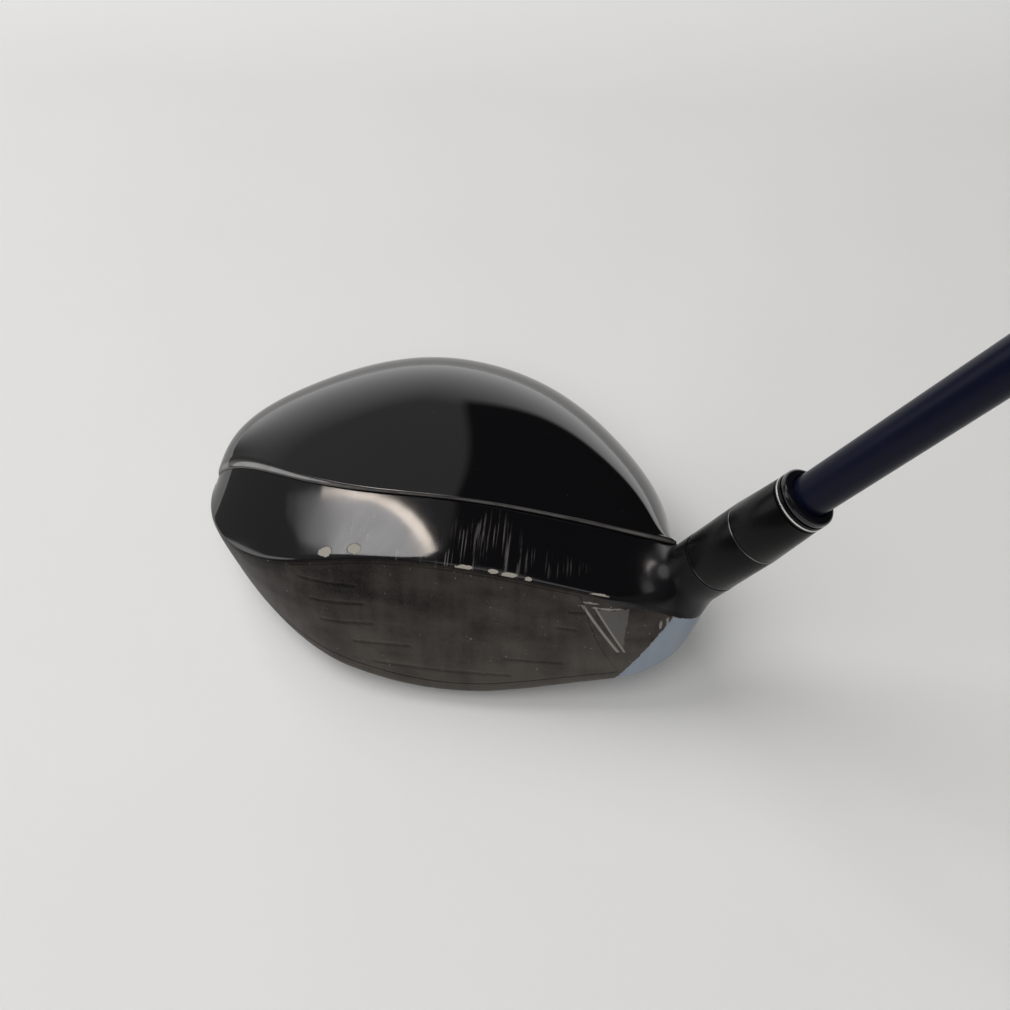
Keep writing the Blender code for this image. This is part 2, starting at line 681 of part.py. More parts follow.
def make_trim_ring(finish):
    low = sleeve_top() + CLEARANCE
    inner = SHAFT_TIP_RADIUS + CLEARANCE
    return collar("trim_ring", inner, SLEEVE_TOP_RADIUS, low, low + TRIM_LENGTH, ROUND_SIDES, finish)


def make_ferrule(finish):
    low = sleeve_top() + TRIM_LENGTH + 2 * CLEARANCE
    high = low + FERRULE_LENGTH
    inner = SHAFT_TIP_RADIUS + CLEARANCE
    edge = (FERRULE_TOP_RADIUS - inner) / 2
    profile = [(inner, low), (inner, high)]
    for turn in np.linspace(math.pi / 2, 0.0, LIP_STEPS):
        out = FERRULE_TOP_RADIUS - edge + edge * math.cos(turn)
        profile.append((out, high - edge + edge * math.sin(turn)))
    profile.append((SLEEVE_TOP_RADIUS, low))
    return on_axis(turned("ferrule", profile, ROUND_SIDES, finish))


# Shaft and grip, turned about the shaft axis

def shaft_butt():
    return CLUB_LENGTH - CAP_THICKNESS - CLEARANCE


def shaft_radius(distance):
    taper_start = SHAFT_TIP + SHAFT_TIP_PARALLEL
    share = max(distance - taper_start, 0.0) / (shaft_butt() - taper_start)
    return SHAFT_TIP_RADIUS + (SHAFT_BUTT_RADIUS - SHAFT_TIP_RADIUS) * share


def sleeve_along(name, low, high, inner_gap, wall, steps, finish):
    # tube that follows the shaft's taper, its inner face a gap off the shaft
    places = np.linspace(low, high, steps)
    inner = [(shaft_radius(place) + inner_gap, place) for place in places]
    outer = [(radius + wall(place), place) for radius, place in inner]
    return on_axis(turned(name, inner + outer[::-1], TUBE_SIDES, finish))


def make_shaft(finish):
    places = [SHAFT_TIP, SHAFT_TIP + SHAFT_TIP_PARALLEL, shaft_butt()]
    inner = [(shaft_radius(place) - SHAFT_WALL, place) for place in places]
    outer = [(shaft_radius(place), place) for place in places]
    return on_axis(turned("shaft", inner + outer[::-1], TUBE_SIDES, finish))


def make_tip_plug(finish):
    radius = SHAFT_TIP_RADIUS - SHAFT_WALL - CLEARANCE
    high = SHAFT_TIP + PLUG_LENGTH
    profile = [(0.0, SHAFT_TIP), (0.0, high), (radius, high), (radius, SHAFT_TIP)]
    return on_axis(turned("tip_plug", profile, TUBE_SIDES, finish))


def grip_start():
    return CLUB_LENGTH - CAP_THICKNESS - GRIP_LENGTH


def make_grip_tape(finish):
    low = grip_start() + TAPE_MARGIN
    high = shaft_butt() - TAPE_MARGIN
    return sleeve_along("grip_tape", low, high, CLEARANCE, lambda place: TAPE_THICKNESS, 2, finish)


def make_grip(finish):
    low = grip_start()
    high = shaft_butt()
    gap = TAPE_THICKNESS + 2 * CLEARANCE
    butt_wall = GRIP_BUTT_RADIUS - SHAFT_BUTT_RADIUS - gap

    def wall(place):
        share = (place - low) / (high - low)
        return GRIP_LIP_WALL + (butt_wall - GRIP_LIP_WALL) * share ** GRIP_SWELL

    return sleeve_along("grip", low, high, gap, wall, GRIP_STEPS, finish)


def make_grip_cap(finish):
    low = CLUB_LENGTH - CAP_THICKNESS
    edge = CAP_THICKNESS / 2
    profile = [(VENT_RADIUS, low), (VENT_RADIUS, CLUB_LENGTH)]
    for turn in np.linspace(math.pi / 2, -math.pi / 2, CAP_EDGE_STEPS):
        profile.append((CAP_RADIUS - edge + edge * math.cos(turn), low + edge + edge * math.sin(turn)))
    return on_axis(turned("grip_cap", profile, TUBE_SIDES, finish))


# Assembly

def build():
    clear_scene()
    gloss_black = material("gloss black paint", (0.008, 0.008, 0.009), 0.08, 0.0)
    satin_black = material("satin black anodising", (0.015, 0.015, 0.016), 0.4, 0.6)
    blasted = material("blasted steel face", (0.04, 0.034, 0.028), 0.5, 0.9)
    bright = material("bright aluminium", (0.8, 0.8, 0.8), 0.18, 1.0)
    steel = material("screw steel", (0.35, 0.35, 0.36), 0.3, 1.0)
    tungsten = material("weight alloy", (0.2, 0.2, 0.21), 0.35, 1.0)
    nylon = material("nylon", (0.6, 0.58, 0.52), 0.5, 0.0)
    blue = material("dark blue lacquer", (0.006, 0.012, 0.05), 0.1, 0.0)
    paper = material("grip tape", (0.55, 0.5, 0.4), 0.8, 0.0)
    rubber = material("grip rubber", (0.02, 0.02, 0.02), 0.75, 0.0)
    pieces = [
        make_head_body(gloss_black.copy()),
        make_crown(gloss_black),
        make_face_plate(blasted),
        make_sole_weight(tungsten),
        make_hosel_screw(steel),
        make_screw_washer(steel.copy()),
        make_screw_retainer(nylon),
        make_adapter_ring(satin_black),
        make_adapter_sleeve(satin_black.copy()),
        make_trim_ring(bright),
        make_ferrule(gloss_black.copy()),
        make_shaft(blue),
        make_tip_plug(nylon.copy()),
        make_grip_tape(paper),
        make_grip(rubber),
        make_grip_cap(rubber.copy()),
    ]
    hold = bpy.data.objects.new("hold_point", None)
    bpy.context.scene.collection.objects.link(hold)
    hold.location = Vector(shaft_direction() * -HOLD_DISTANCE)
    for item in bpy.data.objects:
        if item is not hold:
            item.parent = hold
    return pieces


build()
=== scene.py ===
import json
import math

import bpy
import numpy as np
from mathutils import Matrix, Vector


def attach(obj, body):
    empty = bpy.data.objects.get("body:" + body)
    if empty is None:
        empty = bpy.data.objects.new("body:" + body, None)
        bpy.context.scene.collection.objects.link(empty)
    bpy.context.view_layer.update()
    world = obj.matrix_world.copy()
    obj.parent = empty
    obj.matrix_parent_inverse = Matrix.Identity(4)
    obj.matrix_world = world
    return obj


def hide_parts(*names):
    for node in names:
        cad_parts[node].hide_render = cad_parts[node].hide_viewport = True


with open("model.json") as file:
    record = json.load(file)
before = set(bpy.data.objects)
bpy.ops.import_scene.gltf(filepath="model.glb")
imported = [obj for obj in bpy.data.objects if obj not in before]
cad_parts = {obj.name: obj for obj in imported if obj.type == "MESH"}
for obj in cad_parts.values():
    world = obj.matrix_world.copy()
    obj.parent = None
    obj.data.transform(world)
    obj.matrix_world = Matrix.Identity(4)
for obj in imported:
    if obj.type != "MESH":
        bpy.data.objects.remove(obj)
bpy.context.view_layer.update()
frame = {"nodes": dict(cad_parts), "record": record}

mm = 0.001
print("frame loaded")

# where the club stands: the shaft axis runs through the origin and meets the ground at footPoint
mounts = {mount["name"]: mount for mount in frame["record"]["mounts"]}
shaftAxis = Vector(mounts["grip_hold"]["axis"]).normalized()
groundZ = mounts["sole_rest"]["pos_m"][2]
footPoint = shaftAxis * (groundZ / shaftAxis.z)
lie = math.atan2(shaftAxis.z, shaftAxis.x)
axisPlace = Matrix.Translation(footPoint) @ Matrix.Rotation(math.pi / 2 - lie, 4, "Y")


# materials

def hexColour(code):
    # sRGB hex to linear, the way a colour picker does it
    parts = [int(code[i:i + 2], 16) / 255 for i in (1, 3, 5)]
    return (*[p / 12.92 if p <= 0.04045 else ((p + 0.055) / 1.055) ** 2.4 for p in parts], 1.0)


def addNode(tree, kind, links=None, **settings):
    # one node with its settings; links gives each input a node, a socket, a hex colour or a plain value
    node = kind if isinstance(kind, bpy.types.Node) else tree.nodes.new("ShaderNode" + kind)
    for key, value in settings.items():
        setattr(node, key, value)
    for key, value in (links or {}).items():
        named = [s for s in node.inputs if s.enabled and s.name == key]
        socket = node.inputs[key] if isinstance(key, int) else named[0]
        if isinstance(value, str):
            value = hexColour(value)
        if isinstance(value, bpy.types.Node):
            value = [s for s in value.outputs if s.enabled][0]
        if isinstance(value, bpy.types.NodeSocket):
            tree.links.new(value, socket)
        else:
            socket.default_value = value
    return node


def startMaterial(name, alongShaft=False):
    # new material with its shader, and object coordinates in millimetres from footPoint
    made = bpy.data.materials.new(name)
    made.use_nodes = True
    tree = made.node_tree
    coords = addNode(tree, "TexCoord").outputs["Object"]
    place = addNode(tree, "Mapping", {"Vector": coords, "Scale": (1 / mm,) * 3,
                    "Location": [-value / mm for value in footPoint]})
    if alongShaft:
        turned = {"Vector": place, "Axis": (0, 1, 0), "Angle": lie - math.pi / 2}
        place = addNode(tree, "VectorRotate", turned)
    return made, tree, tree.nodes["Principled BSDF"], place


def speckle(tree, place, size, detail=3.0):
    # noise whose lumps are size millimetres across, x by y by z
    scaled = addNode(tree, "Mapping", {"Vector": place, "Scale": [1 / s for s in size]})
    return addNode(tree, "TexNoise", {"Vector": scaled, "Scale": 1.0, "Detail": detail})


def nearestSpot(tree, place, spots):
    # 1 at the edge of the nearest ellipsoid, 0 in its middle; each spot is (centre, half size)
    nearest = 99.0
    for centre, half in spots:
        away = addNode(tree, "VectorMath", {0: place, 1: centre}, operation="SUBTRACT")
        away = addNode(tree, "VectorMath", {0: away, 1: half}, operation="DIVIDE")
        away = addNode(tree, "VectorMath", {0: away}, operation="LENGTH").outputs["Value"]
        nearest = addNode(tree, "Math", {0: away, 1: nearest}, operation="MINIMUM")
    return nearest


def halfPlane(tree, place, facing, start):
    # millimetres past a flat cut that looks along facing and goes through start
    turn = Vector(facing).normalized()
    along = addNode(tree, "VectorMath", {0: place, 1: turn}, operation="DOT_PRODUCT").outputs["Value"]
    return addNode(tree, "Math", {0: along, 1: turn.dot(Vector(start))}, operation="SUBTRACT")


# black enamel: deep wet black that mirrors the room, chipped to grey primer on the topline
enamelSet = {
    "colour": "#0b0a0c", "chip": "#8d887e", "scratch": "#6b6764",
    # centre and half size of each chip
    "chips": [((-58.7, -1.8, 34.4), (1.6, 1.3, 1.5)), ((-52.4, -1.1, 35.3), (1.6, 1.4, 1.5)),
              ((-28.3, -4.5, 36.5), (2.0, 0.6, 0.9)), ((-22.0, -5.0, 36.6), (1.2, 0.5, 0.9)),
              ((-18.7, -5.6, 36.5), (1.9, 0.6, 0.9)), ((-14.4, -6.2, 36.4), (0.8, 0.5, 0.9)),
              ((0.3, -8.5, 35.8), (2.2, 0.5, 0.6))],
    # where the hairlines are, the same way
    "worn": [((-24.5, 2.0, 37.0), (9.0, 9.0, 8.0)), ((-25.0, -2.5, 37.0), (24.0, 4.5, 8.0)),
             ((-51.0, 6.0, 35.0), (4.0, 6.0, 8.0))],
    # along x: where the polish turns into the neck's satin, and where the satin dulls up the hosel
    "satin": (-8.0, 6.0), "satinGloss": 0.24, "dull": (11.0, 17.0), "dullTint": "#606060",
    # flat cuts that bound the blue grey paint under the heel; the paint's pale tone is partly painted shade,
    # the colour of the shaded table beside the heel
    "blue": "#8f979c", "blueStreak": "#7c899b",
    "blueTop": ((0.37, 0.0, 1.0), (6.8, 0.0, 32.9)), "blueSide": ((1.66, 0.0, -1.0), (15.2, 0.0, 26.6)),
}


def bluePaintAndShade(tree, place):
    # the sole's blue grey, a little streaked; its pale tone is partly painted shade
    streaks = speckle(tree, place, (2.5, 9.0, 14.0))
    return addNode(tree, "Mix", {"Factor": streaks, "A": enamelSet["blue"], "B": enamelSet["blueStreak"]},
                   data_type="RGBA")


def hoselDulling(tree, place):
    # 0 on the neck to 1 up the hosel, where the satin mirrors less
    start, end = enamelSet["dull"]
    heelward = addNode(tree, "SeparateXYZ", {0: place}).outputs["X"]
    return addNode(tree, "MapRange", {"Value": heelward, "From Min": start, "From Max": end})


enamel, tree, shader, place = startMaterial("black enamel")
ragged = speckle(tree, place, (0.9, 0.9, 0.9))
rough = addNode(tree, "Math", {0: ragged, 1: 0.9}, operation="MULTIPLY")
chipEdge = addNode(tree, "Math", {0: nearestSpot(tree, place, enamelSet["chips"]), 1: rough}, operation="ADD")
chipped = addNode(tree, "MapRange", {"Value": chipEdge, "From Min": 1.45, "From Max": 1.3})
# hairlines across the band, drawn coarser than they are so that they hold at this size
lines = speckle(tree, place, (0.45, 14.0, 14.0), 1.0)
lines = addNode(tree, "MapRange", {"Value": lines, "From Min": 0.55, "From Max": 0.68})
worn = nearestSpot(tree, place, enamelSet["worn"])
worn = addNode(tree, "MapRange", {"Value": worn, "From Min": 1.0, "From Max": 0.6})
broken = speckle(tree, place, (2.0, 6.0, 6.0))
broken = addNode(tree, "MapRange", {"Value": broken, "From Min": 0.4, "From Max": 0.6, "To Max": 0.55})
scratched = addNode(tree, "Math", {0: lines, 1: worn}, operation="MULTIPLY")
scratched = addNode(tree, "Math", {0: scratched, 1: broken}, operation="MULTIPLY")
colour = addNode(tree, "Mix", {"Factor": scratched, "A": enamelSet["colour"], "B": enamelSet["scratch"]},
                 data_type="RGBA")
colour = addNode(tree, "Mix", {"Factor": chipped, "A": colour, "B": enamelSet["chip"]}, data_type="RGBA")
# blue grey paint under the heel, between the two cuts; its pale tone is partly painted shade
topCut = halfPlane(tree, place, *enamelSet["blueTop"])
topCut = addNode(tree, "MapRange", {"Value": topCut, "From Min": 0.1, "From Max": -0.1})
sideCut = halfPlane(tree, place, *enamelSet["blueSide"])
sideCut = addNode(tree, "MapRange", {"Value": sideCut, "From Min": -0.1, "From Max": 0.1})
under = addNode(tree, "Math", {0: topCut, 1: sideCut}, operation="MULTIPLY")
colour = addNode(tree, "Mix", {"Factor": under, "A": colour, "B": bluePaintAndShade(tree, place)}, data_type="RGBA")
film = speckle(tree, place, (9.0, 9.0, 9.0))
film = addNode(tree, "MapRange", {"Value": film, "To Min": 0.03, "To Max": 0.1})
start, end = enamelSet["satin"]
heelward = addNode(tree, "SeparateXYZ", {0: place}).outputs["X"]
satin = addNode(tree, "MapRange", {"Value": heelward, "From Min": start, "From Max": end})
gloss = addNode(tree, "Mix", {"Factor": satin, "A": film, "B": enamelSet["satinGloss"]})
gloss = addNode(tree, "Mix", {"Factor": chipped, "A": gloss, "B": 0.6})
bumps = addNode(tree, "Bump", {"Height": chipped, "Distance": 0.1 * mm, "Strength": 0.6}, invert=True)
dull = hoselDulling(tree, place)
tint = addNode(tree, "Mix", {"Factor": dull, "A": "#ffffff", "B": enamelSet["dullTint"]}, data_type="RGBA")
shader.inputs["IOR"].default_value = 1.7
addNode(tree, shader, {"Base Color": colour, "Roughness": gloss, "Specular Tint": tint, "Normal": bumps})

# crown lacquer: the same black under a clear, flatter coat, with a little dust
# wear is the grey of the rubbed front lip, partly wear and partly a painted edge highlight
crownSet = {"colour": "#0a090b", "dust": "#77736e", "wear": "#63605d"}
lacquer, tree, shader, place = startMaterial("clear lacquered crown")
dust = speckle(tree, place, (0.7, 0.7, 0.7), 1.0)
dust = addNode(tree, "MapRange", {"Value": dust, "From Min": 0.77, "From Max": 0.83, "To Max": 0.15})
colour = addNode(tree, "Mix", {"Factor": dust, "A": crownSet["colour"], "B": crownSet["dust"]},
                 data_type="RGBA")
# its front lip is rubbed grey: partly wear, partly its edge highlight painted in
rubbedGreyAndGlint = speckle(tree, place, (5.0, 5.0, 5.0))
rubbedGreyAndGlint = addNode(tree, "MapRange", {"Value": rubbedGreyAndGlint, "From Min": 0.3, "From Max": 0.6, "To Min": 0.35})
lip = addNode(tree, "Attribute", attribute_name="lip").outputs["Fac"]
rubbedGreyAndGlint = addNode(tree, "Math", {0: lip, 1: rubbedGreyAndGlint}, operation="MULTIPLY")
colour = addNode(tree, "Mix", {"Factor": rubbedGreyAndGlint, "A": colour, "B": crownSet["wear"]}, data_type="RGBA")
film = speckle(tree, place, (14.0, 14.0, 14.0))
film = addNode(tree, "MapRange", {"Value": film, "To Min": 0.02, "To Max": 0.07})
shader.inputs["IOR"].default_value = 2.0
addNode(tree, shader, {"Base Color": colour, "Roughness": film})

# blasted steel: dull brown grey of the face; on the heel it is scuffed bare up to the paint line
steelSet = {
    # facet is a painted reflection: the table seen in the heel's polished facet
    "dark": "#292624", "light": "#5a5550", "bare": "#98958f", "facetReflection": "#6a6865",
    "facetSides": [((-0.03, 0.0, 1.0), (0.4, 0.0, 32.2)), ((1.0, 0.0, -0.03), (7.0, 0.0, 28.0)),
                   ((-1.0, 0.0, -0.6), (0.1, 0.0, 32.4))],
    # the two scraped lines of the heel: facing, a point, and half width
    "scrapes": [((1.0, 0.0, 0.69), (-2.6, 0.0, 32.7), 0.3), ((1.0, 0.0, 0.6), (0.1, 0.0, 32.4), 0.2)],
    "scrapeEnds": (20.4, 32.9),
    # centre and half size of each scuff on the heel
    "scuffs": [((14.2, -9.4, 27.6), (0.35, 3.0, 1.6)), ((15.6, -9.2, 28.2), (0.4, 3.0, 1.3)),
               ((16.9, -8.6, 29.0), (0.4, 3.0, 1.0)), ((2.0, -9.4, 32.6), (4.5, 2.0, 0.3)),
               ((-1.0, -8.8, 33.7), (2.0, 2.0, 0.35))],
}
blasted, tree, shader, place = startMaterial("blasted steel")
spot = addNode(tree, "SeparateXYZ", {0: place}).outputs
grain = speckle(tree, place, (0.35, 0.35, 0.35), 2.0)
cloud = speckle(tree, place, (11.0, 11.0, 5.0))
smear = speckle(tree, place, (2.5, 9.0, 14.0))
ragged = speckle(tree, place, (1.1, 1.1, 1.1), 4.0)
ragged = addNode(tree, "MapRange", {"Value": ragged, "To Min": -1.1, "To Max": 1.1})
tone = addNode(tree, "Mix", {"Factor": 0.5, "A": grain, "B": smear})
tone = addNode(tree, "Mix", {"Factor": 0.5, "A": tone, "B": cloud})
tone = addNode(tree, "MapRange", {"Value": tone, "From Min": 0.3, "From Max": 0.66})
# lighter toward the sole, a painted reflection of the table; darker toward the toe
tableReflectionLift = addNode(tree, "MapRange", {"Value": spot["Z"], "From Min": 30.0, "From Max": 6.0,
                   "To Min": -0.12, "To Max": 0.5})
tone = addNode(tree, "Math", {0: tone, 1: tableReflectionLift}, operation="ADD")
toeShade = addNode(tree, "MapRange", {"Value": spot["X"], "From Min": -82.0, "From Max": -45.0,
                   "To Min": -0.35, "To Max": 0.0})
tone = addNode(tree, "Math", {0: tone, 1: toeShade}, operation="ADD", use_clamp=True)
colour = addNode(tree, "Mix", {"Factor": tone, "A": steelSet["dark"], "B": steelSet["light"]},
                 data_type="RGBA")
# bright grains where sand has hit it, drawn coarser than they are
grains = speckle(tree, place, (0.55, 0.55, 0.55), 0.0)
grains = addNode(tree, "MapRange", {"Value": grains, "From Min": 0.83, "From Max": 0.87, "To Max": 0.8})
colour = addNode(tree, "Mix", {"Factor": grains, "A": colour, "B": steelSet["bare"]}, data_type="RGBA")
# a pale flat patch on the heel, the table's reflection in its polished facet painted in, with two scraped
# lines and a few scuffs
outside = -99.0
for facing, start in steelSet["facetSides"]:
    side = halfPlane(tree, place, facing, start)
    outside = addNode(tree, "Math", {0: side, 1: outside}, operation="MAXIMUM")
torn = addNode(tree, "Math", {0: ragged, 1: 0.5}, operation="MULTIPLY")
outside = addNode(tree, "Math", {0: outside, 1: torn}, operation="ADD")
facetReflection = addNode(tree, "MapRange", {"Value": outside, "From Min": 0.15, "From Max": -0.15})
colour = addNode(tree, "Mix", {"Factor": facetReflection, "A": colour, "B": steelSet["facetReflection"]}, data_type="RGBA")
scraped = 0.0
for facing, start, half in steelSet["scrapes"]:
    away = addNode(tree, "Math", {0: halfPlane(tree, place, facing, start)}, operation="ABSOLUTE")
    away = addNode(tree, "MapRange", {"Value": away, "From Min": half + 0.08, "From Max": half - 0.08})
    scraped = addNode(tree, "Math", {0: away, 1: scraped}, operation="MAXIMUM")
for height, past in zip(steelSet["scrapeEnds"], ("GREATER_THAN", "LESS_THAN")):
    inside = addNode(tree, "Math", {0: spot["Z"], 1: height}, operation=past)
    scraped = addNode(tree, "Math", {0: scraped, 1: inside}, operation="MULTIPLY")
scuffs = nearestSpot(tree, place, steelSet["scuffs"])
scuffs = addNode(tree, "Math", {0: scuffs, 1: ragged}, operation="ADD")
scuffs = addNode(tree, "MapRange", {"Value": scuffs, "From Min": 0.9, "From Max": 0.6})
bare = addNode(tree, "Math", {0: scraped, 1: scuffs}, operation="MAXIMUM")
colour = addNode(tree, "Mix", {"Factor": bare, "A": colour, "B": steelSet["bare"]}, data_type="RGBA")
# under the heel the sole's blue paint begins, its pale tone partly painted shade, and above the paint line
# the enamel
torn = addNode(tree, "Math", {0: ragged, 1: 0.35}, operation="MULTIPLY")
paints = []
for cut, paint in (("blueSide", bluePaintAndShade(tree, place)), ("blueTop", enamelSet["colour"])):
    past = addNode(tree, "Math", {0: halfPlane(tree, place, *enamelSet[cut]), 1: torn}, operation="ADD")
    past = addNode(tree, "MapRange", {"Value": past, "From Min": -0.1, "From Max": 0.1})
    colour = addNode(tree, "Mix", {"Factor": past, "A": colour, "B": paint}, data_type="RGBA")
    paints.append(past)
under, above = paints
painted = addNode(tree, "Math", {0: under, 1: above}, operation="MAXIMUM")
gloss = addNode(tree, "MapRange", {"Value": grain, "To Min": 0.42, "To Max": 0.58})
gloss = addNode(tree, "Mix", {"Factor": painted, "A": gloss, "B": enamelSet["satinGloss"]})
metal = addNode(tree, "MapRange", {"Value": painted, "To Min": 0.85, "To Max": 0.0})
unpainted = addNode(tree, "MapRange", {"Value": painted, "To Min": 0.35, "To Max": 0.0})
bumps = addNode(tree, "Bump", {"Height": grain, "Distance": 0.05 * mm, "Strength": unpainted})
dull = addNode(tree, "Math", {0: hoselDulling(tree, place), 1: above}, operation="MULTIPLY")
tint = addNode(tree, "Mix", {"Factor": dull, "A": "#ffffff", "B": enamelSet["dullTint"]}, data_type="RGBA")
addNode(tree, shader, {"Base Color": colour, "Roughness": gloss, "Metallic": metal, "Specular Tint": tint,
                       "Normal": bumps})


# the pieces turned about the shaft all get rings left by the lathe, finer or coarser, under their finish
def turnedFinish(name, dark, light, metal, gloss, pitch, depth):
    made, tree, shader, place = startMaterial(name, True)
    rings = speckle(tree, place, (pitch * 60, pitch * 60, pitch), 2.0)
    wear = speckle(tree, place, (4.0, 4.0, 4.0))
    tone = addNode(tree, "Mix", {"Factor": 0.4, "A": rings, "B": wear})
    colour = addNode(tree, "Mix", {"Factor": tone, "A": dark, "B": light}, data_type="RGBA")
    shine = addNode(tree, "MapRange", {"Value": wear, "To Min": gloss * 0.8, "To Max": gloss * 1.25})
    bumps = addNode(tree, "Bump", {"Height": rings, "Distance": depth * mm, "Strength": 0.5})
    shader.inputs["Metallic"].default_value = metal
    addNode(tree, shader, {"Base Color": colour, "Roughness": shine, "Normal": bumps})
    return made


# machined steel: grey bores and screw parts, fine tool rings
machined = turnedFinish("machined steel", "#7d7d7f", "#a2a2a4", 1.0, 0.3, 0.25, 0.01)
# black anodising: soft sheen along the hosel, a little browner than the enamel
anodised = turnedFinish("black anodised aluminium", "#060506", "#0d0c0c", 0.1, 0.26, 0.2, 0.006)
anodised.node_tree.nodes["Principled BSDF"].inputs["IOR"].default_value = 1.27
# bright aluminium: one thin silver ring that catches the lamp
bright = turnedFinish("bright turned aluminium", "#c9c8c6", "#e6e5e3", 1.0, 0.16, 0.12, 0.006)
# ferrule plastic: wet black lip above the silver ring
lipPlastic = turnedFinish("gloss ferrule plastic", "#0a0a0d", "#111117", 0.0, 0.09, 0.5, 0.004)
# weight alloy: dark dense metal with a satin sheen
alloy = turnedFinish("dull weight alloy", "#56565a", "#707074", 1.0, 0.36, 0.3, 0.01)
# nylon: cream, waxy
nylon = turnedFinish("natural nylon", "#b8b09c", "#cfc8b6", 0.0, 0.5, 0.4, 0.01)
# tape: buff paper with wound edges
tape = turnedFinish("buff grip tape", "#a3937a", "#c0b297", 0.0, 0.8, 9.0, 0.05)

# shaft lacquer: navy so dark that it is black in the shade, with a fine sparkle under the clear coat
navySet = {"dark": "#06070f", "light": "#0e132a"}
navy, tree, shader, place = startMaterial("navy shaft lacquer", True)
flakes = speckle(tree, place, (0.3, 0.3, 0.3), 1.0)
wrap = speckle(tree, place, (6.0, 6.0, 30.0))
tone = addNode(tree, "Mix", {"Factor": 0.5, "A": flakes, "B": wrap})
colour = addNode(tree, "Mix", {"Factor": tone, "A": navySet["dark"], "B": navySet["light"]},
                 data_type="RGBA")
shine = addNode(tree, "MapRange", {"Value": wrap, "To Min": 0.24, "To Max": 0.34})
shader.inputs["IOR"].default_value = 1.24
addNode(tree, shader, {"Base Color": colour, "Roughness": shine})

# grip rubber: dead black, dusty in smears
rubber, tree, shader, place = startMaterial("grip rubber", True)
pores = speckle(tree, place, (0.5, 0.5, 0.5), 2.0)
smears = speckle(tree, place, (9.0, 9.0, 25.0))
tone = addNode(tree, "Mix", {"Factor": 0.6, "A": pores, "B": smears})
colour = addNode(tree, "Mix", {"Factor": tone, "A": "#161616", "B": "#2b2a29"}, data_type="RGBA")
bumps = addNode(tree, "Bump", {"Height": pores, "Distance": 0.08 * mm, "Strength": 0.5})
shader.inputs["Roughness"].default_value = 0.72
addNode(tree, shader, {"Base Color": colour, "Normal": bumps})
print("materials mixed")


# shared modelling steps

def combine(piece, other, operation):
    step = piece.modifiers.new(operation.lower(), "BOOLEAN")
    step.operation = operation
    step.solver = "EXACT"
    step.material_mode = "TRANSFER"
    step.object = other
    bpy.context.view_layer.objects.active = piece
    bpy.ops.object.modifier_apply(modifier=step.name)
    bpy.data.objects.remove(other, do_unlink=True)


def cleanMesh(piece, merge=True):
    # doubles merged where wanted, and all faces turned outward
    bpy.ops.object.select_all(action="DESELECT")
    piece.select_set(True)
    bpy.context.view_layer.objects.active = piece
    bpy.ops.object.mode_set(mode="EDIT")
    bpy.ops.mesh.select_all(action="SELECT")
    if merge:
        bpy.ops.mesh.remove_doubles(threshold=0.002 * mm)
    bpy.ops.mesh.normals_make_consistent(inside=False)
    bpy.ops.object.mode_set(mode="OBJECT")


def finishPiece(piece, nodes, body, angle=35):
    # smooth its round faces and hand it to the frame
    cleanMesh(piece)
    bpy.ops.object.shade_smooth_by_angle(angle=math.radians(angle))
    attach(piece, body)
    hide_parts(nodes)


def meshPiece(name, points, faces, materials):
    mesh = bpy.data.meshes.new(name)
    mesh.from_pydata([tuple(footPoint + Vector(p) * mm) for p in points], [], faces)
    for material in materials:
        mesh.materials.append(material)
    piece = bpy.data.objects.new(name, mesh)
    bpy.context.scene.collection.objects.link(piece)
    cleanMesh(piece, False)
    return piece


def quadRow(a, b, count):
    # faces between two closed rings whose points start at a and at b
    return [(a + i, a + (i + 1) % count, b + (i + 1) % count, b + i) for i in range(count)]


def skin(name, rings, materials, paired=False):
    # closed skin over rings of equal length, capped at both ends
    count = len(rings[0])
    end = (len(rings) - 1) * count
    faces = [tuple(range(count)), tuple(range(end, end + count))]
    if paired:  # rings that go out and come back get strips as caps
        steps = range(count // 2 - 1)
        faces = [(a + i, a + i + 1, a + count - 2 - i, a + count - 1 - i) for a in (0, end) for i in steps]
    for row in range(len(rings) - 1):
        faces += quadRow(row * count, (row + 1) * count, count)
    return meshPiece(name, np.concatenate(rings), faces, materials)


def turn(name, profile, material, sides=96):
    # (radius, height) in millimetres walked once round: a circle, then extrude and scale for each next corner
    bpy.ops.object.select_all(action="DESELECT")
    radius, height = profile[0]
    bpy.ops.mesh.primitive_circle_add(vertices=sides, radius=radius * mm, location=(0, 0, height * mm))
    piece = bpy.context.object
    piece.name = name
    bpy.ops.object.transform_apply(location=True, rotation=True, scale=True)
    bpy.ops.object.mode_set(mode="EDIT")
    bpy.ops.mesh.select_all(action="SELECT")
    for nextRadius, nextHeight in profile[1:] + profile[:1]:
        rise = (0, 0, (nextHeight - height) * mm)
        bpy.ops.mesh.extrude_region_move(TRANSFORM_OT_translate={"value": rise})
        grow = nextRadius / radius
        bpy.ops.transform.resize(value=(grow, grow, 1), center_override=(0, 0, nextHeight * mm))
        radius, height = nextRadius, nextHeight
    bpy.ops.object.mode_set(mode="OBJECT")
    cleanMesh(piece)
    piece.data.transform(axisPlace)
    piece.data.materials.append(material)
    return piece


def markBand(piece, material, low, high, beyond):
    # faces of a turned piece between two heights and outside a radius get another material
    piece.data.materials.append(material)
    back = axisPlace.inverted()
    for polygon in piece.data.polygons:
        spot = back @ polygon.center / mm
        if low < spot.z < high and math.hypot(spot.x, spot.y) > beyond:
            polygon.material_index = len(piece.data.materials) - 1


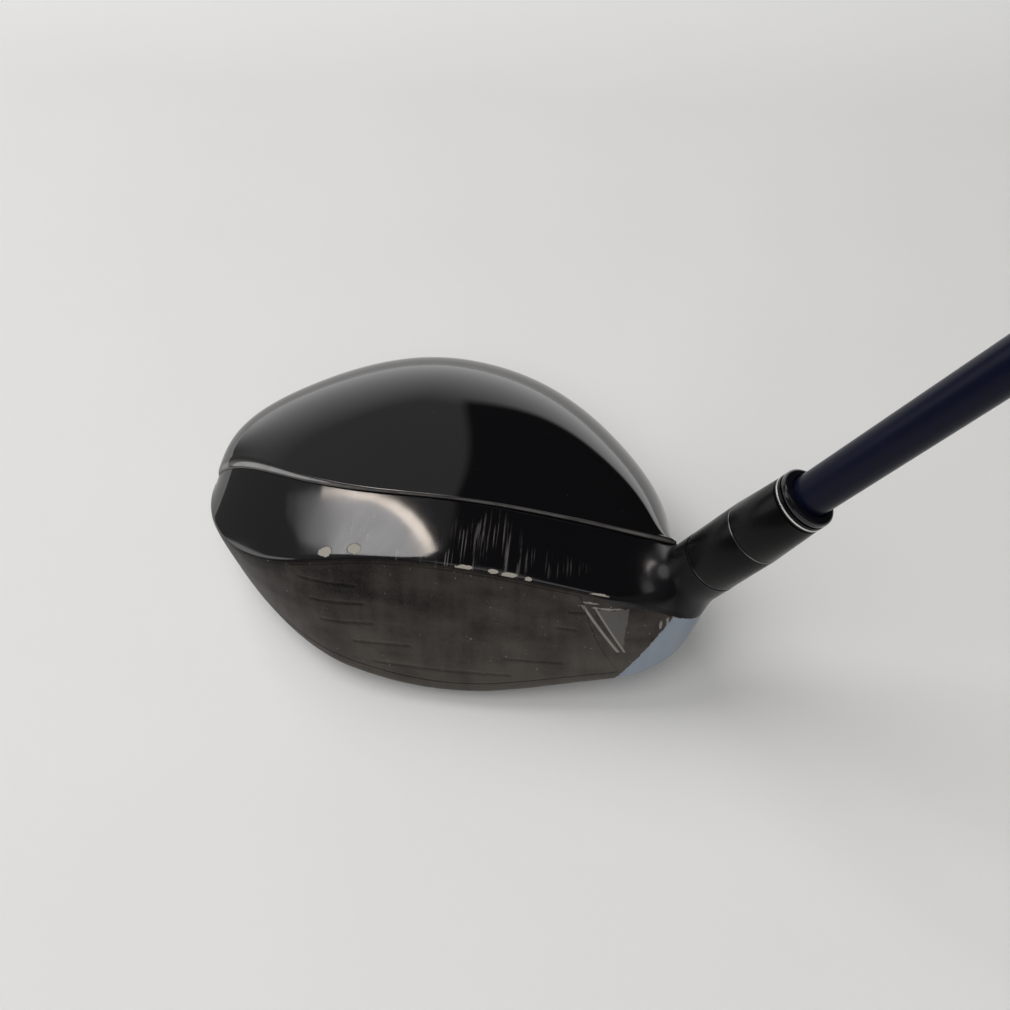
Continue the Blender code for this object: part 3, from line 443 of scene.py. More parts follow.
def soften(corners, size):
    # every corner of a closed profile swapped for three points of a small round
    soft = []
    for i, corner in enumerate(corners):
        here = np.array(corner, float)
        ends = []
        for other in (corners[i - 1], corners[(i + 1) % len(corners)]):
            way = np.array(other, float) - here
            ends.append(here + way * min(size / np.linalg.norm(way), 0.45))
        middle = 0.25 * ends[0] + 0.5 * here + 0.25 * ends[1]
        soft += [tuple(ends[0]), tuple(middle), tuple(ends[1])]
    return soft


def blocks(name, radii, heights, width, material):
    # four key blocks round the shaft axis
    bpy.ops.object.select_all(action="DESELECT")
    for number in range(4):
        bpy.ops.mesh.primitive_cube_add(size=1)
        block = bpy.context.object
        size = ((radii[1] - radii[0]) * mm, width * mm, (heights[1] - heights[0]) * mm, 1)
        middle = (sum(radii) / 2 * mm, 0, sum(heights) / 2 * mm)
        turned = Matrix.Rotation(number * math.pi / 2, 4, "Z") @ Matrix.Translation(middle)
        block.data.transform(axisPlace @ turned @ Matrix.Diagonal(size))
        block.data.materials.append(material)
        if number:
            first.select_set(True)
            block.select_set(True)
            bpy.context.view_layer.objects.active = first
            bpy.ops.object.join()
            first.select_set(False)
        else:
            first = block
            block.select_set(False)
    first.name = name
    return first


# head: the rails of the frame's head, followed with many more sections
headSet = {
    "topline": [(-94, -7.5, 28.7), (-79, -6.8, 31.2), (-55, -3.8, 35), (-29, -4.8, 36.6), (2, -9, 35.9)],
    "leadingEdge": [(-94, -0.8, 14.5), (-67, -11.3, 8.6), (-45, -16.9, 5.2), (-24, -18, 5), (2, -15.2, 10.5)],
    "ridge": [(-94, 28.4, 31), (-85, 24.4, 32.2), (-71, 18.7, 33.8), (-33, 12, 38.5), (4.5, 8, 36.5),
              (18, 7, 34)],
    "outline": [(-94, 28), (-92.4, 41), (-75, 59.6), (-43.8, 71), (-15, 63.2), (6.4, 42.5), (16.2, 23.5),
                (18, 7)],
    "toeX": -94, "toeY": 28, "toeRoundX": -54, "neckX": 2, "heelX": 18, "skirt": 17.5,
    "roll": 0.5, "leadRound": 2.5, "topRound": 0.8, "step": 0.9, "ledge": 8, "ridgeSpacing": 1.4,
    "soleX": -32, "camber": 230, "soleRun": 18, "belly": 0.4, "heelLift": 4, "soleRise": 0.6,
    "soleSpacing": 1.5, "crownFull": 2.3, "soleFull": 2.8, "pivotZ": 46, "heelFull": 0.5,
    "hoselRadius": 6.9, "hoselTop": 45.5,
    # first section of the head, and the ends of the rear dome and of the crown on it
    "tipX": -93.95, "domeHeelX": 16.4, "crownTipX": -93.3, "lidDrop": 0.45,
    "headSections": 130, "neckSections": 44, "domeSections": 110,
    # sections on each side of the neck's start that are eased, over how many the easing fades, and how often
    "easingReach": 22, "easingFade": 8, "easingSweeps": 60,
    # how far up the neck the bare steel may go, and how far past the paint line it ends
    "steelStation": 1.75, "steelPastLine": 1.2,
}


def smoothCurve(knots, values):
    # natural cubic through the knots, as a function
    x = np.asarray(knots, float)
    y = np.asarray(values, float)
    step = np.diff(x)
    slope = np.diff(y) / step
    system = np.eye(len(x))
    bend = np.zeros(len(x))
    for i in range(1, len(x) - 1):
        system[i, i - 1:i + 2] = step[i - 1], 2 * (step[i - 1] + step[i]), step[i]
        bend[i] = 6 * (slope[i] - slope[i - 1])
    curve = np.linalg.solve(system, bend)

    def at(value):
        i = np.clip(np.searchsorted(x, value) - 1, 0, len(x) - 2)
        near = (x[i + 1] - value) / step[i]
        far = (value - x[i]) / step[i]
        lift = (near ** 3 - near) * curve[i] + (far ** 3 - far) * curve[i + 1]
        return near * y[i] + far * y[i + 1] + lift * step[i] ** 2 / 6

    return at


rails = {}
for railName in ("topline", "leadingEdge", "ridge"):
    railX, railY, railZ = np.array(headSet[railName], float).T
    rails[railName] = (smoothCurve(railX, railY), smoothCurve(railX, railZ))
planPoints = np.array(headSet["outline"], float)
planRun = np.concatenate([[0], np.cumsum(np.linalg.norm(np.diff(planPoints, axis=0), axis=1))])
planX = smoothCurve(planRun / planRun[-1], planPoints[:, 0])
planY = smoothCurve(planRun / planRun[-1], planPoints[:, 1])


def railAt(name, x):
    return np.array([rails[name][0](x), rails[name][1](x)])


def toTip(x, point):
    # draws a section in toward the toe tip like a quarter ellipse
    reach = max(headSet["toeRoundX"] - x, 0) / (headSet["toeRoundX"] - headSet["toeX"])
    tip = np.array([headSet["toeY"], headSet["skirt"]])
    return tip + (np.asarray(point) - tip) * math.sqrt(max(1 - reach ** 2, 0))


def soleHeight(x):
    behind = max(x - headSet["neckX"], 0) / (headSet["heelX"] - headSet["neckX"])
    rise = (x - headSet["soleX"]) ** 2 / (2 * headSet["camber"])
    return rise - headSet["belly"] + headSet["heelLift"] * behind ** 2


def headSection(x):
    # one section of the front as (y, z) points, and how far round each one is:
    # 0 leading edge, 1 topline, 2 back, 3 sole
    lead = toTip(x, railAt("leadingEdge", x))
    crest = toTip(x, railAt("topline", x))
    ridge = toTip(x, railAt("ridge", x)) - np.array([0, headSet["step"]])
    low = soleHeight(x) + headSet["belly"] + headSet["soleRise"]
    back, floor = toTip(x, [railAt("ridge", x)[0] + headSet["ledge"], low])
    up = crest - lead
    normal = np.array([-up[1], up[0]]) / np.linalg.norm(up)

    def face(q):
        q = np.atleast_1d(q)
        return lead + np.outer(q, up) + np.outer(headSet["roll"] * 4 * q * (1 - q), normal)

    def band(q):
        y = crest[0] + (back - crest[0]) * np.atleast_1d(q)
        rise = np.minimum((y - crest[0]) / (ridge[0] - crest[0]), 1)
        return np.column_stack([y, crest[1] + (ridge[1] - crest[1]) * (1 - (1 - rise) ** 2)])

    def sole(q):
        y = lead[0] + (back - lead[0]) * np.atleast_1d(q) ** headSet["soleSpacing"]
        run = np.maximum(1 - (y - lead[0]) / headSet["soleRun"], 0)
        return np.column_stack([y, floor + (lead[1] - floor) * run ** 2])

    def share(corner, point, size):
        return min(size / np.linalg.norm(point - corner), 0.5)

    def bend(start, corner, end, t):
        t = t[:, None]
        return (1 - t) ** 2 * start + 2 * t * (1 - t) * corner + t ** 2 * end

    soleEnd = share(lead, sole(1 / 7)[0], headSet["leadRound"]) ** (1 / headSet["soleSpacing"]) / 7
    faceStart = share(lead, face(1 / 6)[0], headSet["leadRound"]) / 6
    faceEnd = 1 - share(crest, face(5 / 6)[0], headSet["topRound"]) / 6
    bandStart = share(crest, band(1 / 7)[0], headSet["topRound"]) / 7
    parts = []
    t = np.linspace(0.5, 1, 5)[:-1]
    parts.append((bend(sole(soleEnd), lead, face(faceStart), t), (2 * t - 1) / 9))
    q = np.linspace(faceStart, faceEnd, 26)[:-1]
    parts.append((face(q), np.interp(q, [faceStart, 1 / 6, 5 / 6, faceEnd], [1 / 9, 2 / 9, 6 / 9, 7 / 9])))
    t = np.linspace(0, 1, 9)[:-1]
    parts.append((bend(face(faceEnd), crest, band(bandStart), t), 7 / 9 + 2 * t / 9))
    q = np.linspace(bandStart, 1, 34)[:-1]
    parts.append((band(q), np.interp(q, [bandStart, 1 / 7, 1], [1, 8 / 7, 2])))
    q = np.linspace(0, 1, 9)[:-1]
    parts.append((band(1) + np.outer(q, (sole(1) - band(1))[0]), 2 + q))
    q = np.linspace(1, soleEnd, 22)[:-1]
    parts.append((sole(q), np.interp(1 - q, [0, 6 / 7, 1 - soleEnd], [3, 3.75, 3.875])))
    t = np.linspace(0, 0.5, 5)[:-1]
    parts.append((bend(sole(soleEnd), lead, face(faceStart), t), 3.875 + t / 4))
    return np.concatenate([p for p, u in parts]), np.concatenate([u for p, u in parts])


def headRing(station):
    # station 0 to 1 runs from the toe tip to the neck, 1 to 2 turns up the neck, 2 to 3 goes up the hosel
    if station <= 1:
        x = headSet["toeX"] + (headSet["neckX"] - headSet["toeX"]) * (1 - math.cos(station * math.pi / 2))
        points = headSection(x)[0]
        return np.column_stack([np.full(len(points), x), points])
    points, round4 = headSection(headSet["neckX"])
    neckX, pivotZ, radius = headSet["neckX"], headSet["pivotZ"], headSet["hoselRadius"]
    angle = math.radians(225) - math.pi / 2 * round4
    circle = radius * np.column_stack([np.cos(angle), np.sin(angle)])
    swing = min(station - 1, 1)
    ease = swing * swing * (3 - 2 * swing)
    share = ease ** (1 + headSet["heelFull"] * (0.5 - 0.5 * circle[:, 1:] / radius))
    drop = pivotZ * math.cos(lie) - neckX * math.sin(lie)
    mixed = (points - np.array([0, pivotZ])) * (1 - share) + (circle - np.array([0, drop])) * share
    up = np.array([-math.sin(lie * swing), 0, math.cos(lie * swing)])
    ring = np.array([neckX, 0, pivotZ]) + mixed[:, :1] * np.array([0, 1, 0]) + mixed[:, 1:] * up
    if station > 2:
        start = neckX * math.cos(lie) + pivotZ * math.sin(lie)
        ring = ring + np.array(shaftAxis) * (headSet["hoselTop"] - start) * (station - 2)
    return ring


def stationAt(x):
    # the section that passes x at the height of the leading edge
    span = headSet["neckX"] - headSet["toeX"]
    left = 1 - (np.minimum(x, headSet["neckX"]) - headSet["toeX"]) / span
    toeSide = np.arccos(np.clip(left, -1, 1)) * 2 / math.pi
    low = headSet["pivotZ"] - railAt("leadingEdge", headSet["neckX"])[1]
    return toeSide + np.arctan2(np.maximum(x - headSet["neckX"], 0), low) / lie


def ridgeShare(x):
    return ((x - headSet["toeX"]) / (headSet["heelX"] - headSet["toeX"])) ** (1 / headSet["ridgeSpacing"])


def domeLine(share, bows, inset, over, start=0.0, sink=0.0):
    # one line of the rear from the ridge to the outline, arched above or below the skirt
    x = headSet["toeX"] + (headSet["heelX"] - headSet["toeX"]) * share ** headSet["ridgeSpacing"]
    y, z = toTip(x, railAt("ridge", x))
    ahead = np.array([curve(share + 0.002) - curve(share - 0.002) for curve in (planX, planY)])
    outward = np.array([-ahead[1], ahead[0]]) / np.linalg.norm(ahead)
    near = np.array([x, y + start])
    far = np.array([planX(share), planY(share)]) - outward * inset
    fullness = headSet["crownFull"] if over else headSet["soleFull"]
    reach = np.sin(bows) ** (2 / fullness)
    arch = np.maximum(np.cos(bows), 0) ** (2 / fullness)
    plan = near + np.outer(reach, far - near)
    skirt = headSet["skirt"]
    if over:
        rim = skirt - sink
        return np.column_stack([plan, rim + max(z - inset - rim, 0) * arch])
    floor = toTip(x, [0, soleHeight(x)])[1] + inset
    return np.column_stack([plan, skirt - (skirt - floor) * arch])


def crownSkin(name, outer, inner, sink, grow, lip, materials):
    # the crown between two insets of the dome; lip gives how deep its front edge is rounded along x
    bows = np.linspace(0, math.pi / 2, 36)
    ends = ridgeShare(headSet["crownTipX"] - grow), ridgeShare(headSet["domeHeelX"] + grow)
    rings = []
    for share in np.linspace(*ends, headSet["domeSections"]):
        over = domeLine(share, bows, outer, True, -grow, sink)
        under = domeLine(share, bows, inner, True, -grow, sink)[::-1]
        if lip:
            way = over[-1, :2] - over[0, :2]
            reach = np.linalg.norm(way)
            deep = min(np.interp(over[0, 0], *lip), 0.3 * reach)
            drop = min(0.85, 0.5 * (over[0, 2] - over[-1, 2]))
            angle = np.linspace(0, math.pi / 2, 9)
            front = np.column_stack([over[0, :2] + np.outer(deep * (1 - np.cos(angle)), way / reach),
                                     over[0, 2] - drop * (1 - np.sin(angle))])
            run = np.linalg.norm(over[:, :2] - over[0, :2], axis=1)
            spread = np.linspace(np.interp(1.25 * deep, run, bows), math.pi / 2, len(bows))
            over = np.concatenate([front, domeLine(share, spread, outer, True, -grow, sink)])
        rings.append(np.concatenate([over, under]))
    return skin(name, rings, materials)


# face plate, let into the front of the head
plateSet = {
    "thick": 1.8, "edge": 0.12, "toeX": -83.0, "lowMargin": 0.7, "topMargin": 0.4,
    # where its heel edge stands at the leading edge, and how far it leans to the toe at the topline
    "heelX": 7, "heelLean": 10,
    # the plate and its pocket are a little larger than those margins
    "grow": 0.2, "pocketGrow": 0.25, "pocketDeep": 2.1, "pocketOut": 1.0,
    "lineWidth": 0.9, "lineDepth": 0.18, "lineFade": 0.5,
    # start and end x, start and end z of each score line
    "lines": [(-65.1, -51.5, 29.2, 29.1), (-63.2, -49.9, 23.9, 25.1), (-60.6, -47.8, 19.0, 20.5),
              (-53.4, -39.5, 15.0, 16.2), (-48.9, -16.9, 10.4, 11.2), (-5.9, -1.5, 30.6, 31.1),
              (-8.2, -3.2, 26.1, 26.1), (-19.3, -5.4, 15.8, 16.0)],
    # the stretch of the face that is sampled for it, at how many stations and heights
    "sampledX": (-86.0, 10.0), "stations": 300, "heights": 40,
}


def plateGrid(grow, across, heights):
    # points of the face between the plate's margins, the way into the head at each, and how far the edge is
    low = plateSet["lowMargin"] - grow
    top = plateSet["topMargin"] - grow
    toeX = plateSet["toeX"]
    toe = stationAt(np.array(toeX - grow))
    a, h = np.meshgrid(across, heights, indexing="ij")
    heelX = plateSet["heelX"] - plateSet["heelLean"] * h + grow
    station = toe + (stationAt(heelX) - toe) * a
    spacing = faceStations[1] - faceStations[0]
    row = np.clip((station - faceStations[0]) / spacing, 0, len(faceStations) - 1.001)
    length = np.interp(station, faceStations, faceLengths)
    tall = length - low - top
    column = (low + tall * h) / length * (faceRows.shape[1] - 1)
    column = np.clip(column, 0, faceRows.shape[1] - 1.001)
    i, j = row.astype(int), column.astype(int)
    s, t = (row - i)[..., None], (column - j)[..., None]
    points = ((1 - s) * (1 - t) * faceRows[i, j] + (1 - s) * t * faceRows[i, j + 1]
              + s * (1 - t) * faceRows[i + 1, j] + s * t * faceRows[i + 1, j + 1])
    inward = (1 - s) * faceInward[i] + s * faceInward[i + 1]
    width = heelX - (toeX - grow)
    edge = np.minimum(np.minimum(a, 1 - a) * width, np.minimum(h, 1 - h) * tall)
    return points, inward, edge


# sections of the head, eased into one another where the neck starts
stations = np.concatenate([np.linspace(float(stationAt(headSet["tipX"])), 1, headSet["headSections"]),
                           np.linspace(1, 2, headSet["neckSections"])[1:], [2.9, 3.0]])
rings = np.array([headRing(station) for station in stations])
fromNeck = np.abs(np.arange(len(stations)) - headSet["headSections"] + 1)
easing = np.clip((headSet["easingReach"] - fromNeck) / headSet["easingFade"], 0, 1)[1:-1, None, None]
for sweep in range(headSet["easingSweeps"]):
    rings[1:-1] += 0.5 * easing * ((rings[:-2] + rings[2:]) / 2 - rings[1:-1])

# the face, sampled once from leading edge to topline at many stations
faceStations = np.linspace(*[float(stationAt(x)) for x in plateSet["sampledX"]], plateSet["stations"])
faceRows = []
faceLengths = []
aroundHead = headSection(headSet["neckX"])[1]
onFace = (aroundHead >= 1 / 9 - 1e-6) & (aroundHead <= 7 / 9 + 1e-6)
for station in faceStations:
    after = int(np.searchsorted(stations, station))
    share = (station - stations[after - 1]) / (stations[after] - stations[after - 1])
    line = (rings[after - 1] * (1 - share) + rings[after] * share)[onFace]
    run = np.concatenate([[0], np.cumsum(np.linalg.norm(np.diff(line, axis=0), axis=1))])
    even = np.linspace(0, run[-1], plateSet["heights"])
    faceRows.append(np.column_stack([np.interp(even, run, line[:, axis]) for axis in range(3)]))
    faceLengths.append(run[-1])
faceRows = np.array(faceRows)
faceLengths = np.array(faceLengths)
faceInward = np.cross(faceRows[:, -1] - faceRows[:, 0], np.gradient(faceRows[:, 6], axis=0))
faceInward = faceInward / np.linalg.norm(faceInward, axis=1)[:, None]

# head body: front loft with neck and hosel, joined to the rear bowl, then cut for crown, shaft and face plate
headBody = skin("headBody", list(rings), [enamel, blasted])
perRing = len(aroundHead)
paintFacing, paintStart = [Vector(value) for value in enamelSet["blueTop"]]
for number, polygon in enumerate(headBody.data.polygons):
    ringNumber, column = divmod(number - 2, perRing)
    onFront = number > 1 and aroundHead[column] < 8 / 9 and stations[ringNumber] < headSet["steelStation"]
    pastLine = paintFacing.normalized().dot((polygon.center - footPoint) / mm - paintStart)
    polygon.material_index = int(onFront and pastLine < headSet["steelPastLine"])
rearBows = np.linspace(0, math.pi / 2, 32)
bowl = []
lid = headSet["skirt"] - headSet["lidDrop"]
ends = ridgeShare(headSet["tipX"]), ridgeShare(headSet["domeHeelX"])
for share in np.linspace(*ends, headSet["domeSections"]):
    low = domeLine(share, rearBows, 0, False)
    low[:, 2] = np.minimum(low[:, 2], lid)
    top = low[::-1].copy()
    top[:, 2] = lid
    bowl.append(np.concatenate([low, top]))
combine(headBody, skin("rear bowl", bowl, [enamel]), "UNION")
combine(headBody, crownSkin("crown seat", -1.2, 1.7, 0.3, 0.12, None, [enamel]), "DIFFERENCE")
print("head joined")
# stepped bore about the shaft axis: tool access from the sole, screw hole through the shelf, sleeve bore
boreSet = {"sleeve": 5.55, "screw": 2.4, "access": 4.8, "core": 0.05, "foot": -20, "shelfLow": 16.5,
           "shelfTop": 19.5, "top": 56, "slotRadii": (4.25, 6.3), "slotHeights": (42.5, 56), "slotWidth": 2.8}
bore = [(boreSet["core"], boreSet["foot"]), (boreSet["core"], boreSet["top"]),
        (boreSet["sleeve"], boreSet["top"]), (boreSet["sleeve"], boreSet["shelfTop"]),
        (boreSet["screw"], boreSet["shelfTop"]), (boreSet["screw"], boreSet["shelfLow"]),
        (boreSet["access"], boreSet["shelfLow"]), (boreSet["access"], boreSet["foot"])]
combine(headBody, turn("hosel bore", bore, machined), "DIFFERENCE")
slots = blocks("key slots", boreSet["slotRadii"], boreSet["slotHeights"], boreSet["slotWidth"], machined)
combine(headBody, slots, "DIFFERENCE")
# port of the sole weight; heights are those of the middles
weightSet = {"middle": (-38, 46), "radius": 6.0, "tall": 4.5, "height": 4.85, "edge": 0.35,
             "portRadius": 6.3, "portDeep": 24.9, "portHeight": -5.05,
             "driveRadius": 2.6, "driveDeep": 4.4, "driveHeight": 2.6}


def soleRod(radius, tall, height, sides=96):
    # upright rod where the sole weight sits
    place = footPoint + Vector((*weightSet["middle"], weightSet[height])) * mm
    bpy.ops.mesh.primitive_cylinder_add(vertices=sides, radius=weightSet[radius] * mm,
                                        depth=weightSet[tall] * mm, location=place)
    return bpy.context.object


port = soleRod("portRadius", "portDeep", "portHeight")
port.data.materials.append(machined)
combine(headBody, port, "DIFFERENCE")
points, inward, edge = plateGrid(plateSet["pocketGrow"], np.linspace(0, 1, 80), np.linspace(0, 1, 40))
outer = points - plateSet["pocketOut"] * inward
inner = points + plateSet["pocketDeep"] * inward
pocket = np.concatenate([outer, inner[:, ::-1]], axis=1)
combine(headBody, skin("plate pocket", list(pocket), [machined], True), "DIFFERENCE")
# nothing reaches below the ground
bpy.ops.mesh.primitive_cube_add(size=0.3, location=(footPoint.x, 0, groundZ - 0.15))
ground = bpy.context.object
ground.data.materials.append(enamel)
combine(headBody, ground, "DIFFERENCE")
finishPiece(headBody, "head_body", "head")
print("head cut")

# crown; its front lip is rounded deeper toward its ends, and rubbed grey along its middle points, partly wear
# and partly a painted edge highlight
lipDepth = ([-93, -84, -70, -50, -10, 16], [3.2, 2.6, 1.4, 0.6, 0.6, 1.4])
lipWearAndGlint = (0, 0, 0.3, 0.8, 1, 0.8, 0.3)
crownPiece = crownSkin("crownShell", 0.0, 1.4, 0.0, 0.0, lipDepth, [lacquer])
lip = crownPiece.data.attributes.new("lip", "FLOAT", "POINT")
perLine = len(crownPiece.data.vertices) // headSet["domeSections"]
for number, value in enumerate(lip.data):
    value.value = lipWearAndGlint[number % perLine] if number % perLine < len(lipWearAndGlint) else 0
finishPiece(crownPiece, "crown", "head", 40)

# face plate with its score lines, broken in the middle; its grid is tight at the edges
tight = np.array([0, 0.0012, 0.0025, 0.004])
across = np.concatenate([tight, np.linspace(0.006, 0.994, 370), 1 - tight[::-1]])
tight = np.array([0, 0.004, 0.009, 0.015])
heights = np.concatenate([tight, np.linspace(0.022, 0.978, 90), 1 - tight[::-1]])
points, inward, edge = plateGrid(plateSet["grow"], across, heights)
fillet = np.maximum(plateSet["edge"] - edge, 0)
depth = plateSet["edge"] - np.sqrt(np.maximum(plateSet["edge"] ** 2 - fillet ** 2, 0))
for startX, endX, startZ, endZ in plateSet["lines"]:
    x, z = points[..., 0], points[..., 2]
    middle = startZ + (endZ - startZ) * (x - startX) / (endX - startX)
    off = np.abs(z - middle) / (plateSet["lineWidth"] / 2)
    inside = np.clip(np.minimum(x - startX, endX - x) / plateSet["lineFade"], 0, 1)
    depth = np.maximum(depth, plateSet["lineDepth"] * inside * np.clip(1 - off, 0, 1) ** 0.7)
front = points + depth[..., None] * inward
behind = points + plateSet["thick"] * inward
plate = skin("facePlate", list(np.concatenate([front, behind[:, ::-1]], axis=1)), [blasted], True)
finishPiece(plate, "face_plate", "head", 50)
print("crown and face plate done")

# adapter ring, with keys into the hosel and slots for the sleeve's keys; its outer edges are turned bare
ringSet = {"inner": 5.55, "outer": 6.85, "low": 45.62, "high": 58.68, "round": 0.2, "bareFrom": 6.6,
           "keyRadii": (5.55, 6.0), "keyHeights": (43.1, 46.4), "keyWidth": 2.2,
           "slotRadii": (4.25, 6.25), "slotHeights": (53.2, 72.0), "slotWidth": 2.8}
corners = [(ringSet["inner"], ringSet["low"]), (ringSet["inner"], ringSet["high"]),
           (ringSet["outer"], ringSet["high"]), (ringSet["outer"], ringSet["low"])]
ring = turn("adapterRing", soften(corners, ringSet["round"]), anodised)
markBand(ring, machined, ringSet["low"], ringSet["low"] + ringSet["round"], ringSet["bareFrom"])
markBand(ring, machined, ringSet["high"] - ringSet["round"], ringSet["high"], ringSet["bareFrom"])
keys = blocks("ring keys", ringSet["keyRadii"], ringSet["keyHeights"], ringSet["keyWidth"], anodised)
combine(ring, keys, "UNION")
slots = blocks("ring slots", ringSet["slotRadii"], ringSet["slotHeights"], ringSet["slotWidth"], anodised)
combine(ring, slots, "DIFFERENCE")
finishPiece(ring, "adapter_ring", "ring")

# adapter sleeve: tube down the hosel, tapered head above the ring
sleeveSet = {"corners": [(2.4, 22.0), (2.4, 36.0), (4.55, 36.0), (4.55, 70.5), (6.2, 70.5), (6.85, 58.8),
                         (5.25, 58.8), (5.25, 22.0)], "round": 0.25,
             "keyRadii": (4.9, 5.95), "keyHeights": (53.8, 59.3), "keyWidth": 2.2}
sleeve = turn("adapterSleeve", soften(sleeveSet["corners"], sleeveSet["round"]), anodised)
keys = blocks("sleeve keys", sleeveSet["keyRadii"], sleeveSet["keyHeights"], sleeveSet["keyWidth"], anodised)
combine(sleeve, keys, "UNION")
finishPiece(sleeve, "adapter_sleeve", "shaft_assembly")

# trim ring, black with one thin bright line
trimSet = {"corners": [(4.55, 70.8), (4.55, 72.2), (6.2, 72.2), (6.2, 71.52), (6.2, 71.18), (6.2, 70.8)],
           "round": 0.1, "line": (71.15, 71.55), "lineFrom": 6.1}
trim = turn("trimRing", soften(trimSet["corners"], trimSet["round"]), anodised)
markBand(trim, bright, *trimSet["line"], trimSet["lineFrom"])
finishPiece(trim, "trim_ring", "shaft_assembly")

# profiles of the turned pieces that have a round edge: radius and height from the foot point
edgeSet = {
    "ferrule": {"start": [(4.55, 72.5), (4.55, 73.9)], "middle": (5.55, 73.3), "round": 0.6, "until": 0,
                "steps": 9, "end": [(6.17, 73.0), (6.2, 72.7), (6.1, 72.5)]},
    "cap": {"start": [(1.6, 1025.0), (1.6, 1029.7), (1.9, 1030.0)], "middle": (12.1, 1027.5), "round": 2.5,
            "until": -math.pi / 2, "steps": 15, "end": []},
}


def roundProfile(name):
    edge = edgeSet[name]
    radius, height = edge["middle"]
    profile = list(edge["start"])
    for angle in np.linspace(math.pi / 2, edge["until"], edge["steps"]):
        profile.append((radius + edge["round"] * math.cos(angle), height + edge["round"] * math.sin(angle)))
    return profile + edge["end"]


# ferrule: a short glossy lip
ferrule = turn("ferruleLip", roundProfile("ferrule"), lipPlastic)
finishPiece(ferrule, "ferrule", "shaft_assembly")

# shaft: a parallel tip, then an even taper to the butt
shaftSet = {"tip": 4.25, "butt": 7.6, "wall": 1.0, "low": 37.0, "taperFrom": 137.0, "high": 1024.7}
tip, butt = shaftSet["tip"], shaftSet["butt"]
shaftProfile = [(tip - shaftSet["wall"], shaftSet["low"]), (tip - shaftSet["wall"], shaftSet["taperFrom"]),
                (butt - shaftSet["wall"], shaftSet["high"]), (butt, shaftSet["high"]),
                (tip, shaftSet["taperFrom"]), (tip, shaftSet["low"])]
finishPiece(turn("shaftTube", shaftProfile, navy), "shaft", "shaft_assembly")
print("adapter and shaft done")

# grip: tapered rubber with two crossed sets of moulded grooves and three plain rings at the mouth
gripSet = {"low": 760.0, "high": 1024.7, "lipWall": 2.2, "buttRadius": 13.3, "swell": 1.15, "gap": 1.1,
           "rows": 440, "sides": 128, "turns": 12, "pitch": 30.0, "depth": 0.4,
           # where the crossed grooves run, and where the plain rings do
           "crossed": (775.0, 1012.0), "plain": (762.5, 774.5), "plainPitch": 4.0, "plainHalf": 0.8,
           "crest": 0.75, "fade": 1.5, "endRound": 0.8, "endRun": 0.9}
along = np.linspace(gripSet["low"], gripSet["high"], gripSet["rows"])
part = (along - gripSet["low"]) / (gripSet["high"] - gripSet["low"])
taper = (along - shaftSet["taperFrom"]) / (shaftSet["high"] - shaftSet["taperFrom"])
inner = tip + (butt - tip) * taper + gripSet["gap"]
thicker = gripSet["buttRadius"] - inner[-1] - gripSet["lipWall"]
outer = inner + gripSet["lipWall"] + thicker * part ** gripSet["swell"]
count = gripSet["sides"]
around = np.arange(count) * 2 * math.pi / count
groove = np.zeros((gripSet["rows"], count))
for slant in (1, -1):
    climb = slant * 2 * math.pi * along[:, None] / gripSet["pitch"]
    wave = np.cos(gripSet["turns"] * around[None, :] + climb)
    groove = np.maximum(groove, np.clip((wave - gripSet["crest"]) / (1 - gripSet["crest"]), 0, 1) ** 0.6)
start, end = gripSet["crossed"]
inField = np.clip(np.minimum(along - start, end - along) / gripSet["fade"], 0, 1)
start, end = gripSet["plain"]
fromRing = np.abs((along - start) % gripSet["plainPitch"] - gripSet["plainPitch"] / 2)
plainRings = np.clip(1 - fromRing / gripSet["plainHalf"], 0, 1) * ((along > start) & (along < end))
groove = np.maximum(groove * inField[:, None], plainRings[:, None])
fromEnd = np.minimum(along - gripSet["low"], gripSet["high"] - along)
rounding = gripSet["endRound"] * np.clip(1 - fromEnd / gripSet["endRun"], 0, 1) ** 2
radius = (outer - rounding)[:, None] - gripSet["depth"] * groove
turnAxis = np.array(axisPlace.to_3x3())
rings = []
for size, height in [*zip(radius, along), (inner[-1], along[-1]), (inner[0], along[0])]:
    local = np.column_stack([size * np.cos(around), size * np.sin(around), np.full(count, height)])
    rings.append(local @ turnAxis.T)
faces = []
for row in range(len(rings)):
    faces += quadRow(row * count, (row + 1) % len(rings) * count, count)
grip = meshPiece("gripSleeve", np.concatenate(rings), faces, [rubber])
finishPiece(grip, "grip", "shaft_assembly", 60)

# grip cap with its vent hole
finishPiece(turn("gripCap", roundProfile("cap"), rubber), "grip_cap", "shaft_assembly")

# sole weight with a hexagon drive
weight = soleRod("radius", "tall", "height")
weight.name = "soleWeight"
bpy.ops.object.transform_apply(location=True, rotation=True, scale=True)
weight.data.materials.append(alloy)
bevel = weight.modifiers.new("edge", "BEVEL")
bevel.width = weightSet["edge"] * mm
bevel.segments = 3
bpy.ops.object.modifier_apply(modifier=bevel.name)
drive = soleRod("driveRadius", "driveDeep", "driveHeight", 6)
drive.data.materials.append(alloy)
combine(weight, drive, "DIFFERENCE")
finishPiece(weight, "sole_weight", "weight")

# the small pieces inside the head and under the grip stay as the frame draws them
for nodeName, material in (("hosel_screw", machined), ("screw_washer", machined), ("screw_retainer", nylon),
                           ("tip_plug", nylon), ("grip_tape", tape)):
    node = frame["nodes"][nodeName]
    node.data.materials.clear()
    node.data.materials.append(material)
print("grip and small pieces done")

